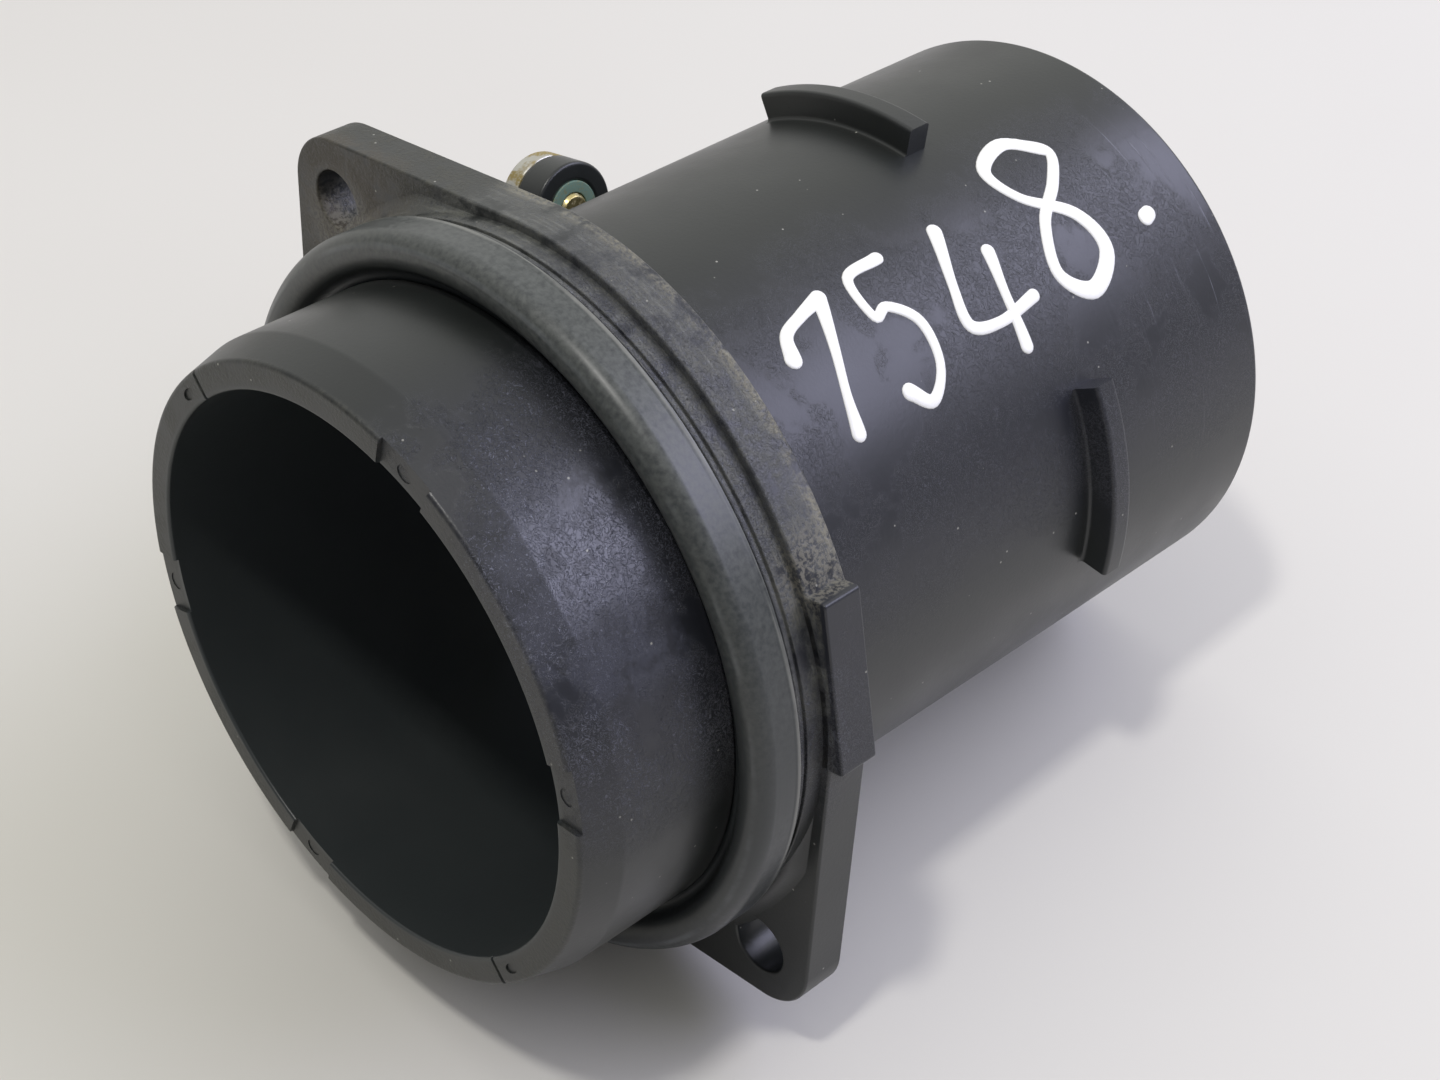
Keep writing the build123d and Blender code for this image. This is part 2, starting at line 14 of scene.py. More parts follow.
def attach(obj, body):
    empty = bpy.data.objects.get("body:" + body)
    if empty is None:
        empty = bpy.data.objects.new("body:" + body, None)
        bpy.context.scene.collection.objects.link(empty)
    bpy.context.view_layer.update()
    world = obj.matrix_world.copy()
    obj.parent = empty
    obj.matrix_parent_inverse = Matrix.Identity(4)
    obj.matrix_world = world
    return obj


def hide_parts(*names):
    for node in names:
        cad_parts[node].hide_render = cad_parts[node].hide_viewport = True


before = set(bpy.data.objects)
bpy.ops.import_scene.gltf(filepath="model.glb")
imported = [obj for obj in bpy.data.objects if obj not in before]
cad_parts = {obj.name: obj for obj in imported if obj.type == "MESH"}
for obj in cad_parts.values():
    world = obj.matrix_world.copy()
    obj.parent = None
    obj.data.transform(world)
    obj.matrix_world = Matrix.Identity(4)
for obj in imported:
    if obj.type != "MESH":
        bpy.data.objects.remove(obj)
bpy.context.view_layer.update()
MM = 0.001
scene = bpy.context.scene
print("packed nodes:", len(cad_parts))

# %% [markdown]
# ## Camera
# The camera looks down at about 44 degrees from the spigot's side. A long lens, 62 mm on a
# 36 mm sensor, keeps the rim and the far end in natural proportion.

# %% Camera
camera_data = bpy.data.cameras.new("studio_camera")
camera_data.sensor_width = 36.0
camera_data.lens = 61.668
camera_data.clip_start = 0.01
camera = bpy.data.objects.new("studio_camera", camera_data)
camera.location = (0.149779, -0.136073, 0.177206)
camera.rotation_euler = [math.radians(a) for a in (49.6854, -4.0940, 46.0259)]
scene.collection.objects.link(camera)
scene.camera = camera
print("camera at", tuple(round(c, 3) for c in camera.location))

# %% [markdown]
# ## Main sizes
# They repeat the CAD model's own values, so each finer mesh lands on the solid that it stands
# for. Angles go round the duct's axis, from +X towards +Z.

# %% Sizes of the duct and of the sensor's seat
BORE_RADIUS, LEAD_IN_RADIUS, SPIGOT_RADIUS = 32.2, 35.4, 36.65
SPIGOT_RIM, SHOULDER = -26.8, -22.1
SEAL_FRONT, SEAL_BACK = -7.3, -3.4
COLLAR_RADIUS, COLLAR_FRONT = 41.5, -3.1
FLANGE_RADIUS, FLANGE_THICKNESS = 42.5, 5.4
TUBE_ROOT_RADIUS, HOSE_SEAT_RADIUS = 34.7, 35.0
HOSE_SEAT_START, HOSE_END = 53.5, 80.7
BOLT_CIRCLE_RADIUS, BOLT_HOLE_RADIUS, EAR_TIP_RADIUS = 46.5, 3.5, 7.2
EAR_ANGLES = (141.1, -38.9)
CLOCKING = 15.0
MODULE_POSITION, PAD_HEIGHT, LUG_OFFSET = 34.7, 35.2, 23.4
LUG_RADIUS, LUG_THICKNESS, BUSHING_HEIGHT = 5.8, 4.4, 2.5
QUARTER_TURN = math.radians(90)

outward = Vector((-math.cos(math.radians(CLOCKING)), 0, -math.sin(math.radians(CLOCKING))))
sideways = outward.cross(Vector((0, 1, 0)))


def seat_frame(height):
    """Placement, in metres, of a sketch over the sensor's seat: x along the duct, z outwards."""
    origin = Vector((0, MODULE_POSITION, 0)) + outward * height
    columns = Matrix((Vector((0, 1, 0)), sideways, outward)).transposed().to_4x4()
    return Matrix.Translation(origin * MM) @ columns


DUCT_FRAME = Matrix.Rotation(QUARTER_TURN, 4, "X")
print("the sensor's seat faces", tuple(round(c, 3) for c in outward))

# %% [markdown]
# ## Colours and nodes
# Colours are written as sRGB hex values, as they are read off a screen. Shaders work in linear
# light, so one function converts them. Another adds a node with its settings and links.

# %% Colour and node helpers


def linear(hex_colour):
    """Linear RGBA for an sRGB hex value."""
    channels = [int(hex_colour[i : i + 2], 16) / 255 for i in (1, 3, 5)]
    return [c / 12.92 if c <= 0.04045 else ((c + 0.055) / 1.055) ** 2.4 for c in channels] + [1.0]


def feed(tree, node, *first, **inputs):
    """Gives a node its first inputs and those named; each is a value or the socket that feeds it."""
    for key, value in [*enumerate(first), *inputs.items()]:
        socket = node.inputs[key.replace("_", " ") if isinstance(key, str) else key]
        if isinstance(value, bpy.types.NodeSocket):
            tree.links.new(value, socket)
        else:
            socket.default_value = value
    return node


def add(tree, kind, settings=None, *first, **inputs):
    """Adds a node with its settings and inputs."""
    node = tree.nodes.new(kind)
    for name, value in (settings or {}).items():
        setattr(node, name, value)
    return feed(tree, node, *first, **inputs)


def maths(tree, operation, *values):
    """Result of a maths node."""
    return add(tree, "ShaderNodeMath", {"operation": operation}, *values).outputs[0]


def vector_maths(tree, operation, *values, **inputs):
    """Outputs of a vector maths node."""
    return add(tree, "ShaderNodeVectorMath", {"operation": operation}, *values, **inputs).outputs


def new_material(name):
    """Material of that name, with its tree and its Principled shader."""
    material = bpy.data.materials.new(name)
    material.use_nodes = True
    return material, material.node_tree, material.node_tree.nodes["Principled BSDF"]


print("linear mid grey:", round(linear("#808080")[0], 4))

# %% [markdown]
# ## Outlines
# Moulded parts have no sharp corners. This helper takes the corners of an outline, each with
# its rounding radius, and gives the points of the rounded line.

# %% Rounded outlines


def rounded(corners, closed=True, steps=5):
    """Points of an outline of (x, y, radius) corners with each corner rounded."""
    points = []
    for i, (x, y, radius) in enumerate(corners):
        here = Vector((x, y))
        ends = not closed and i in (0, len(corners) - 1)
        if radius == 0 or ends:
            points.append((x, y))
            continue
        before = Vector(corners[i - 1][:2]) - here
        after = Vector(corners[(i + 1) % len(corners)][:2]) - here
        half = before.angle(after) / 2
        reach = min(radius / math.tan(half), 0.49 * before.length, 0.49 * after.length)
        start, end = here + before.normalized() * reach, here + after.normalized() * reach
        for k in range(steps + 1):
            t = k / steps
            points.append(tuple(start * (1 - t) ** 2 + here * 2 * t * (1 - t) + end * t * t))
    return points


def bridged(mesh, rings):
    """Joins each ring of points to the next one by faces."""
    for ring, following in zip(rings, rings[1:]):
        for k in range(len(ring)):
            j = (k + 1) % len(ring)
            mesh.faces.new((ring[k], following[k], following[j], ring[j]))


def turned(profile, angles, change=None):
    """Mesh of a closed (y, radius) profile turned about the duct's axis.

    change(angle, y, radius) gives a point of the profile its place at an angle.
    """
    mesh = bmesh.new()
    rings = []
    for angle in angles:
        c, s = math.cos(math.radians(angle)), math.sin(math.radians(angle))
        moved = [change(angle, y, r) if change else (y, r) for y, r in profile]
        rings.append([mesh.verts.new((r * c * MM, y * MM, r * s * MM)) for y, r in moved])
    bridged(mesh, rings + rings[:1])
    bmesh.ops.recalc_face_normals(mesh, faces=mesh.faces)
    return mesh


def flat_plate(outlines, thickness, edge, place):
    """Bmesh of a plate with rounded edges, cut from outlines; its top is at z = 0 of its place."""
    curve = bpy.data.curves.new("plate_outline", "CURVE")
    curve.dimensions, curve.fill_mode = "2D", "BOTH"
    curve.extrude = (thickness / 2 - edge) * MM
    curve.bevel_depth, curve.bevel_resolution, curve.offset = edge * MM, 3, -edge * MM
    for outline in outlines:
        spline = curve.splines.new("POLY")
        spline.points.add(len(outline) - 1)
        for point, (x, y) in zip(spline.points, outline):
            point.co = (x * MM, y * MM, 0, 1)
        spline.use_cyclic_u = True
    maker = bpy.data.objects.new("plate_outline", curve)
    flat = bpy.data.meshes.new_from_object(maker)
    bpy.data.objects.remove(maker)
    mesh = bmesh.new()
    mesh.from_mesh(flat)
    bmesh.ops.remove_doubles(mesh, verts=mesh.verts, dist=1e-7)
    bmesh.ops.translate(mesh, verts=mesh.verts, vec=(0, 0, -thickness / 2 * MM))
    bmesh.ops.transform(mesh, verts=mesh.verts, matrix=place)
    bmesh.ops.recalc_face_normals(mesh, faces=mesh.faces)
    return mesh


print("rounded square:", len(rounded([(0, 0, 1), (5, 0, 1), (5, 5, 1), (0, 5, 1)])), "points")

# %% [markdown]
# ## Pieces
# A piece is one object at the origin with its place in its mesh. Weighted normals keep the
# large flat faces flat beside their small rounded edges, and are written into the mesh.

# %% Piece helpers


def evaluated(maker):
    """Mesh data that an object makes with its modifiers; the object is used up."""
    scene.collection.objects.link(maker)
    graph = bpy.context.evaluated_depsgraph_get()
    mesh_data = bpy.data.meshes.new_from_object(maker.evaluated_get(graph))
    bpy.data.objects.remove(maker)
    return mesh_data


def settle(maker, name):
    """Plain mesh object of that name from an object and its modifiers."""
    piece = bpy.data.objects.new(name, evaluated(maker))
    piece.data.name = name
    scene.collection.objects.link(piece)
    return piece


def shaded(mesh_data, name, crease=38):
    """Object whose faces shade smoothly up to the crease angle, with weighted normals."""
    mesh_data.shade_smooth()
    mesh_data.set_sharp_from_angle(angle=math.radians(crease))
    maker = bpy.data.objects.new(name + "_maker", mesh_data)
    weighting = maker.modifiers.new("weighted_normals", "WEIGHTED_NORMAL")
    weighting.keep_sharp = True
    return settle(maker, name)


def merged(name, parts):
    """Mesh data of several closed bmesh shells together."""
    together = bmesh.new()
    for part in parts:
        step = bpy.data.meshes.new("step")
        part.to_mesh(step)
        part.free()
        together.from_mesh(step)
    mesh_data = bpy.data.meshes.new(name)
    together.to_mesh(mesh_data)
    together.free()
    return mesh_data


def joined(name, parts, crease=38):
    """One shaded object from several closed bmesh shells."""
    return shaded(merged(name, parts), name, crease)


def dress(piece, material, slot, *nodes):
    """Gives a piece its material and its body, and hides the nodes that it stands for; the slot is not
    used.
    """
    piece.data.materials.clear()
    piece.data.materials.append(material)
    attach(piece, "root")
    if nodes:
        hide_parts(*nodes)
    low = [min(v.co[i] for v in piece.data.vertices) / MM for i in range(3)]
    high = [max(v.co[i] for v in piece.data.vertices) / MM for i in range(3)]
    faces = len(piece.data.polygons)
    print(piece.name, faces, "faces", [round(a, 1) for a in low], [round(a, 1) for a in high])


# %% [markdown]
# ## Duct moulding
# The duct is one injection moulding in glass-filled plastic. Its turned part follows a single
# profile, so it is turned from rounded points. The columns of the mesh are set close together
# at both sides of each shallow recess in the rim, so that the recess has clean walls.

# %% Turned body of the duct
RECESS_OFFSETS, RECESS_HALF_SPAN, RECESS_DEPTH = (0, 60, 180, 240), 6.0, 0.5
SLIT_OFFSETS, SLIT_HALF_SPAN, SLIT_DEPTH = (120, 300), 0.42, 0.35
RIM_CUTS = (
    (RECESS_OFFSETS, RECESS_HALF_SPAN, RECESS_DEPTH),
    (SLIT_OFFSETS, SLIT_HALF_SPAN, SLIT_DEPTH),
)
SEAT_FRONT, SEAT_RADIUS = SEAL_FRONT - 0.2, SPIGOT_RADIUS - 0.4
COLLAR_LIP_RADIUS, GROOVE_RADIUS, GROOVE_SLOPE = COLLAR_RADIUS - 0.1, COLLAR_RADIUS - 0.4, 0.05
GROOVE_FRONT, GROOVE_BACK = COLLAR_FRONT + 0.6, COLLAR_FRONT + 0.95
ROOT_RADIUS, ROOT_FACE, ROOT_FILLET = TUBE_ROOT_RADIUS + 2.3, FLANGE_THICKNESS + 0.01, 1.8

duct_profile = rounded(
    [
        (SPIGOT_RIM, BORE_RADIUS, 0.4),
        (SPIGOT_RIM, LEAD_IN_RADIUS, 0.6),
        (SHOULDER, SPIGOT_RADIUS, 2.0),
        (SEAT_FRONT, SPIGOT_RADIUS, 0.05),
        (SEAT_FRONT, SEAT_RADIUS, 0),
        (COLLAR_FRONT, SEAT_RADIUS, 0),
        (COLLAR_FRONT, COLLAR_LIP_RADIUS, 0.25),
        (GROOVE_FRONT, COLLAR_LIP_RADIUS, 0.12),
        (GROOVE_FRONT + GROOVE_SLOPE, GROOVE_RADIUS, 0.05),
        (GROOVE_BACK - GROOVE_SLOPE, GROOVE_RADIUS, 0.05),
        (GROOVE_BACK, COLLAR_RADIUS, 0.15),
        (FLANGE_THICKNESS / 2, COLLAR_RADIUS, 0),
        (FLANGE_THICKNESS / 2, ROOT_RADIUS + 0.1, 0),
        (ROOT_FACE, ROOT_RADIUS, 0),
        (ROOT_FACE, TUBE_ROOT_RADIUS, ROOT_FILLET),
        (HOSE_SEAT_START, HOSE_SEAT_RADIUS, 0),
        (HOSE_END, HOSE_SEAT_RADIUS, 0.6),
        (HOSE_END, BORE_RADIUS, 0.3),
    ]
)


def rim_cut(angle, y, radius):
    """Moves the rim's points back where a recess or a slit crosses it."""
    for offsets, half_span, depth in RIM_CUTS:
        for offset in offsets:
            turn = (angle - CLOCKING - offset + 180) % 360 - 180
            if abs(turn) < half_span:
                y = max(y, SPIGOT_RIM + depth)
    return y, radius


COLUMN_STEP, EDGE_STEP = 1.5, 0.06
columns = {round(k * COLUMN_STEP, 3) for k in range(int(360 / COLUMN_STEP))}
for offsets, half_span, _ in RIM_CUTS:
    for offset in offsets:
        for side in (-1, 1):
            edge_angle = CLOCKING + offset + side * half_span
            columns |= {round((edge_angle + turn) % 360, 3) for turn in (-EDGE_STEP, EDGE_STEP)}
turned_body = turned(duct_profile, sorted(columns), rim_cut)
print("duct profile:", len(duct_profile), "points,", len(columns), "columns")

# %% Marks of the ejector pins and the gates
RIM_MIDDLE = (BORE_RADIUS + LEAD_IN_RADIUS) / 2
EJECTOR_RADIUS, EJECTOR_STRETCH = 0.9, 1.15
GATE_RADIUS, GATE_STRETCH, GATE_SHIFT = 0.6, 2.0, 5.4
MARK_DEPTH, CUTTER_DEPTH = 0.2, 2.0


def polar(radius, angle):
    """Point of the duct's cross-section."""
    return radius * math.cos(math.radians(angle)), radius * math.sin(math.radians(angle))


def rim_mark(offset, radius, stretch, bottom):
    """Cutter for one mark: a cylinder across the rim, drawn out along the rim by a factor."""
    place = Matrix.Rotation(-math.radians(CLOCKING + offset), 4, "Y")
    place @= Matrix.Translation((RIM_MIDDLE, bottom - CUTTER_DEPTH / 2, 0))
    place @= DUCT_FRAME @ Matrix.Diagonal((1, stretch, 1, 1))
    mesh = bmesh.new()
    size = {"radius1": radius, "radius2": radius, "depth": CUTTER_DEPTH}
    bmesh.ops.create_cone(mesh, cap_ends=True, segments=32, **size)
    bmesh.ops.transform(mesh, verts=mesh.verts, matrix=Matrix.Scale(MM, 4) @ place)
    return mesh


def cut(body, cutters):
    """Bmesh of the body less the cutters, by Blender's exact boolean."""
    maker = bpy.data.objects.new("body", merged("body", [body]))
    cutter = bpy.data.objects.new("cutters", merged("cutters", cutters))
    scene.collection.objects.link(cutter)
    modifier = maker.modifiers.new("cut", "BOOLEAN")
    modifier.operation, modifier.solver, modifier.object = "DIFFERENCE", "EXACT", cutter
    mesh = bmesh.new()
    mesh.from_mesh(evaluated(maker))
    bpy.data.objects.remove(cutter)
    return mesh


recess_floor = SPIGOT_RIM + RECESS_DEPTH
marks = [
    rim_mark(offset, EJECTOR_RADIUS, EJECTOR_STRETCH, recess_floor + MARK_DEPTH / 2)
    for offset in RECESS_OFFSETS
]
marks += [
    rim_mark(offset + GATE_SHIFT, GATE_RADIUS, GATE_STRETCH, SPIGOT_RIM + MARK_DEPTH)
    for offset in SLIT_OFFSETS
]
turned_body = cut(turned_body, marks)
print("turned body with", len(marks), "marks:", len(turned_body.faces), "faces")

# %% [markdown]
# The flange is a flat plate: a disc whose two ears leave it on straight tangents. A filled 2D
# curve is the simplest way to get a plate with holes and evenly rounded edges. The locating
# key is a second, slightly thinner plate that stands out of the disc.

# %% Flange plate with its ears, and the key
KEY_REACH, KEY_WIDTH, KEY_SHIFT, KEY_SETBACK = 43.5, 20.0, 1.4, 0.5
FLANGE_EDGE, KEY_EDGE, KEY_CORNER_RADIUS, KEY_ROOT = 0.3, 0.25, 0.5, 6
EAR_LEAN = math.degrees(math.acos((FLANGE_RADIUS - EAR_TIP_RADIUS) / BOLT_CIRCLE_RADIUS))


def arc_points(radius, centre, start, sweep, count):
    """Points along an arc."""
    return [
        (centre[0] + x, centre[1] + y)
        for x, y in (polar(radius, start + sweep * k / count) for k in range(count + 1))
    ]


def circle(radius, centre=(0, 0), count=64):
    """Points round a circle."""
    return arc_points(radius, centre, 0, 360, count)[:-1]


flange_outline = []
for ear in EAR_ANGLES:
    tip = polar(BOLT_CIRCLE_RADIUS, ear)
    flange_outline += arc_points(EAR_TIP_RADIUS, tip, ear - EAR_LEAN, 2 * EAR_LEAN, 30)
    flange_outline += arc_points(FLANGE_RADIUS, (0, 0), ear + EAR_LEAN, 180 - 2 * EAR_LEAN, 90)
holes = [circle(BOLT_HOLE_RADIUS, polar(BOLT_CIRCLE_RADIUS, a), 48) for a in EAR_ANGLES]
bore_hole = circle(TUBE_ROOT_RADIUS - 1.0, count=120)
flange_loops = [flange_outline, bore_hole] + holes
plate = flat_plate(flange_loops, FLANGE_THICKNESS, FLANGE_EDGE, DUCT_FRAME)
key_low, key_high = KEY_SHIFT - KEY_WIDTH / 2, KEY_SHIFT + KEY_WIDTH / 2
key_corners = [
    (KEY_REACH, key_low, KEY_CORNER_RADIUS),
    (KEY_REACH, key_high, KEY_CORNER_RADIUS),
    (FLANGE_RADIUS - KEY_ROOT, key_high, 0),
    (FLANGE_RADIUS - KEY_ROOT, key_low, 0),
]
key_frame = Matrix.Rotation(-math.radians(CLOCKING), 4, "Y") @ DUCT_FRAME
key_plate = flat_plate([rounded(key_corners)], FLANGE_THICKNESS - KEY_SETBACK, KEY_EDGE, key_frame)
print("flange plate:", len(plate.faces), "faces")

# %% [markdown]
# The collar meets each ear in a hollow fillet, which has no room beside the disc and fades out
# there. It is turned like the body, with its size changed from column to column.

# %% Fillets between the collar and the ears
FILLET_SIZE, FILLET_SUNK, SMALLEST_SHARE, DISC_MARGIN = 2.4, 0.05, 0.02, 0.2
FILLET_FOOT = COLLAR_RADIUS - 0.1


def fillet_share(angle):
    """Share of the full fillet that fits on the flange's face at an angle."""
    away = min(abs((angle - ear + 180) % 360 - 180) for ear in EAR_ANGLES)
    if away >= EAR_LEAN:
        return SMALLEST_SHARE
    edge = FLANGE_RADIUS / math.cos(math.radians(EAR_LEAN - away))
    return min(1.0, max(SMALLEST_SHARE, (edge - FLANGE_RADIUS - DISC_MARGIN) / FILLET_SIZE))


def sized_fillet(angle, y, radius):
    """Scales the fillet's section about the corner that it fills."""
    share = fillet_share(angle)
    return FILLET_SUNK + (y - FILLET_SUNK) * share, FILLET_FOOT + (radius - FILLET_FOOT) * share


hollow = [
    (FILLET_SUNK - FILLET_SIZE * (1 - math.sin(t)), FILLET_FOOT + FILLET_SIZE * (1 - math.cos(t)))
    for t in (math.radians(9 * k) for k in range(11))
]
fillets = turned(hollow + [(0.3, FILLET_FOOT)], [2.0 * k for k in range(180)], sized_fillet)
print("ear fillets:", len(fillets.faces), "faces")

# %% [markdown]
# The sensor's seat is a flat pad on the tube, with a web and a round lug at each side. They
# are plates too, laid on the seat's own plane.

# %% Pad, web and lugs of the seat
PAD_LENGTH, PAD_WIDTH, PAD_CORNER, PAD_THICKNESS, PAD_SUNK = 28.0, 30.0, 4.0, 4.4, 0.02
HALF_WEB, INSERT_HOLE_RADIUS, PAD_EDGE, LUG_EDGE = 4.5, 3.52, 0.3, 0.45


def capsule(radius, offset, half_web):
    """Outline of two round lugs joined by a web."""
    turn = math.degrees(math.asin(half_web / radius))
    points = []
    for side in (1, -1):
        points += arc_points(radius, (0, side * offset), turn - 90 * side, 360 - 2 * turn, 40)
    return points


corners = ((1, -1), (1, 1), (-1, 1), (-1, -1))
pad_corners = [(x * PAD_LENGTH / 2, y * PAD_WIDTH / 2, PAD_CORNER) for x, y in corners]
pad_frame = seat_frame(PAD_HEIGHT - PAD_SUNK)
pad_plate = flat_plate([rounded(pad_corners, steps=8)], PAD_THICKNESS, PAD_EDGE, pad_frame)
lug_loops = [circle(INSERT_HOLE_RADIUS, (0, s * LUG_OFFSET), 40) for s in (-1, 1)]
lug_loops.insert(0, capsule(LUG_RADIUS, LUG_OFFSET, HALF_WEB))
lug_plate = flat_plate(lug_loops, LUG_THICKNESS, LUG_EDGE, seat_frame(PAD_HEIGHT))
print("seat plates:", len(pad_plate.faces) + len(lug_plate.faces), "faces")

# %% [markdown]
# ## Hose stops
# Four equal ribs stop the hose. Each is a short arc round the tube with one cross-section, so
# a Geometry Nodes tree sweeps that section along an arc and turns copies round the axis. The
# section flares into the tube at the flange's side, as a moulded rib's root does.

# %% Geometry Nodes helpers


def geometry_tree(name, **sizes):
    """Tree that takes a geometry, sizes of the given kinds and a material, and its inputs."""
    tree = bpy.data.node_groups.new(name, "GeometryNodeTree")
    for socket, kind in {"Geometry": "Geometry", **sizes, "Material": "Material"}.items():
        socket = socket.replace("_", " ")
        tree.interface.new_socket(socket, in_out="INPUT", socket_type="NodeSocket" + kind)
    tree.interface.new_socket("Geometry", in_out="OUTPUT", socket_type="NodeSocketGeometry")
    return tree, tree.nodes.new("NodeGroupInput").outputs


def swept(tree, section, path, caps=False):
    """Mesh of a section, given as a loop of edges, swept along a path."""
    profile = add(tree, "GeometryNodeMeshToCurve", Mesh=section).outputs["Curve"]
    ends = {"Curve": path, "Profile_Curve": profile, "Fill_Caps": caps}
    return add(tree, "GeometryNodeCurveToMesh", **ends).outputs["Mesh"]


def copied(tree, points, shape, angle):
    """Copies of a shape on points, each turned by its angle about Z."""
    turn = add(tree, "ShaderNodeCombineXYZ", Z=angle).outputs[0]
    ends = {"Points": points, "Instance": shape, "Rotation": turn}
    return add(tree, "GeometryNodeInstanceOnPoints", **ends).outputs["Instances"]


def end_tree(tree, given, geometry, turn=(0, 0, 0)):
    """Ends a tree: copies become real, the shape is turned, and it gets its material."""
    real = add(tree, "GeometryNodeRealizeInstances", Geometry=geometry)
    laid = add(tree, "GeometryNodeTransform", Geometry=real.outputs[0], Rotation=turn)
    finished = add(
        tree, "GeometryNodeSetMaterial", Geometry=laid.outputs[0], Material=given["Material"]
    )
    tree.links.new(finished.outputs[0], tree.nodes.new("NodeGroupOutput").inputs[0])
    print("tree", tree.name, len(tree.nodes), "nodes")


def grown(name, tree, source, values):
    """Mesh data that the tree makes from a source mesh or curve, with its inputs set by name."""
    maker = bpy.data.objects.new(name + "_maker", source)
    modifier = maker.modifiers.new(name, "NODES")
    modifier.node_group = tree
    for item in tree.interface.items_tree:
        if item.in_out == "INPUT" and item.name in values:
            modifier[item.identifier] = values[item.name]
    return evaluated(maker)


def grown_shell(name, tree, section, values):
    """Bmesh that a tree makes from the closed loop of a section's points, facing outwards."""
    outline = bpy.data.meshes.new("outline")
    edges = [(k, (k + 1) % len(section)) for k in range(len(section))]
    outline.from_pydata([(x * MM, y * MM, 0) for x, y in section], edges, [])
    mesh = bmesh.new()
    mesh.from_mesh(grown(name, tree, outline, values))
    bmesh.ops.recalc_face_normals(mesh, faces=mesh.faces)
    return mesh


print("helpers ready")

# %% Tree: a section swept along an arc, repeated round the duct
stops_tree, given = geometry_tree(
    "swept_ribs", Radius="Float", Span="Float", First_Angle="Float", Count="Int", Steps="Int"
)
half = maths(stops_tree, "MULTIPLY", given["Span"], -0.5)
start = maths(stops_tree, "ADD", half, given["First Angle"])
arc_size = {"Resolution": given["Steps"], "Radius": given["Radius"], "Sweep_Angle": given["Span"]}
arc = add(stops_tree, "GeometryNodeCurveArc", Start_Angle=start, **arc_size).outputs["Curve"]
rib = swept(stops_tree, given["Geometry"], arc, True)
step = maths(stops_tree, "DIVIDE", math.tau, given["Count"])
index = add(stops_tree, "GeometryNodeInputIndex").outputs[0]
places = add(stops_tree, "GeometryNodePoints", Count=given["Count"]).outputs[0]
ribs = copied(stops_tree, places, rib, maths(stops_tree, "MULTIPLY", step, index))
end_tree(stops_tree, given, ribs, (QUARTER_TURN, 0, 0))

# %% Four hose stops
STOP_START, STOP_END, STOP_RISE, STOP_SUNK, STOP_SPAN, STOP_COUNT = 49.5, 52.5, 3.4, 1.5, 36, 4
stop_section = rounded(
    [
        (-STOP_SUNK, STOP_START - 1.0, 0),
        (-0.05, STOP_START - 0.9, 0.0),
        (0.05, STOP_START, 0.8),
        (STOP_RISE, STOP_START, 0.55),
        (STOP_RISE, STOP_END, 0.55),
        (-STOP_SUNK, STOP_END, 0),
    ]
)
stop_sizes = {
    "Radius": HOSE_SEAT_RADIUS * MM,
    "Span": math.radians(STOP_SPAN),
    "First Angle": math.radians(CLOCKING),
    "Count": STOP_COUNT,
    "Steps": STOP_SPAN + 1,
}
stops = grown_shell("hose_stops", stops_tree, stop_section, stop_sizes)
print("hose stops:", len(stops.faces), "faces")

# %% [markdown]
# ## Rubber seal ring
# One tree turns any section round the duct. The ring's section is a round bead that leans
# forward over the spigot, with a thin lip at the back. The bead is squeezed when the duct is
# pushed into its socket.

# %% Tree: a section turned all the way round
turning_tree, given = geometry_tree("turned_ring", Radius="Float", Steps="Int")
path_size = {"Resolution": given["Steps"], "Radius": given["Radius"]}
path = add(turning_tree, "GeometryNodeCurvePrimitiveCircle", **path_size).outputs["Curve"]
ring_shape = swept(turning_tree, given["Geometry"], path)
end_tree(turning_tree, given, ring_shape, (QUARTER_TURN, 0, 0))

# %% Seal ring
SEAL_RADIUS, SEAL_INNER, BEAD_RADIUS, BEAD_REACH = 42.2, 36.3, 2.25, 1.9
lip = SEAL_RADIUS - SEAL_INNER
bead_centre = (lip - BEAD_RADIUS, SEAL_FRONT - BEAD_REACH + BEAD_RADIUS)
seal_section = rounded(
    [
        (0, SEAL_FRONT + 0.3, 0),
        (0.35, SEAL_FRONT, 0),
        (1.3, SEAL_FRONT - 0.2, 1.5),
    ]
    + [(x, y, 0) for x, y in arc_points(BEAD_RADIUS, bead_centre, -138, 134, 16)]
    + [
        (lip - 0.05, SEAL_BACK - 1.1, 0.8),
        (lip, SEAL_BACK - 0.62, 0.12),
        (lip, SEAL_BACK - 0.4, 0.1),
        (lip - 0.6, SEAL_BACK, 0.1),
        (0, SEAL_BACK, 0),
    ]
)
seal_sizes = {"Radius": SEAL_INNER * MM, "Steps": 240}
seal = grown_shell("seal_ring_mesh", turning_tree, seal_section, seal_sizes)
print("seal ring:", len(seal.faces), "faces")

# %% [markdown]
# ## Screws, bushings and inserts
# The module is held by two screws through steel bushings into brass inserts. All three are
# turned parts that repeat at both lugs. Each is turned once in Python, and a Geometry Nodes
# tree sets the copies on the lugs and turns them by different angles, as a hand would.

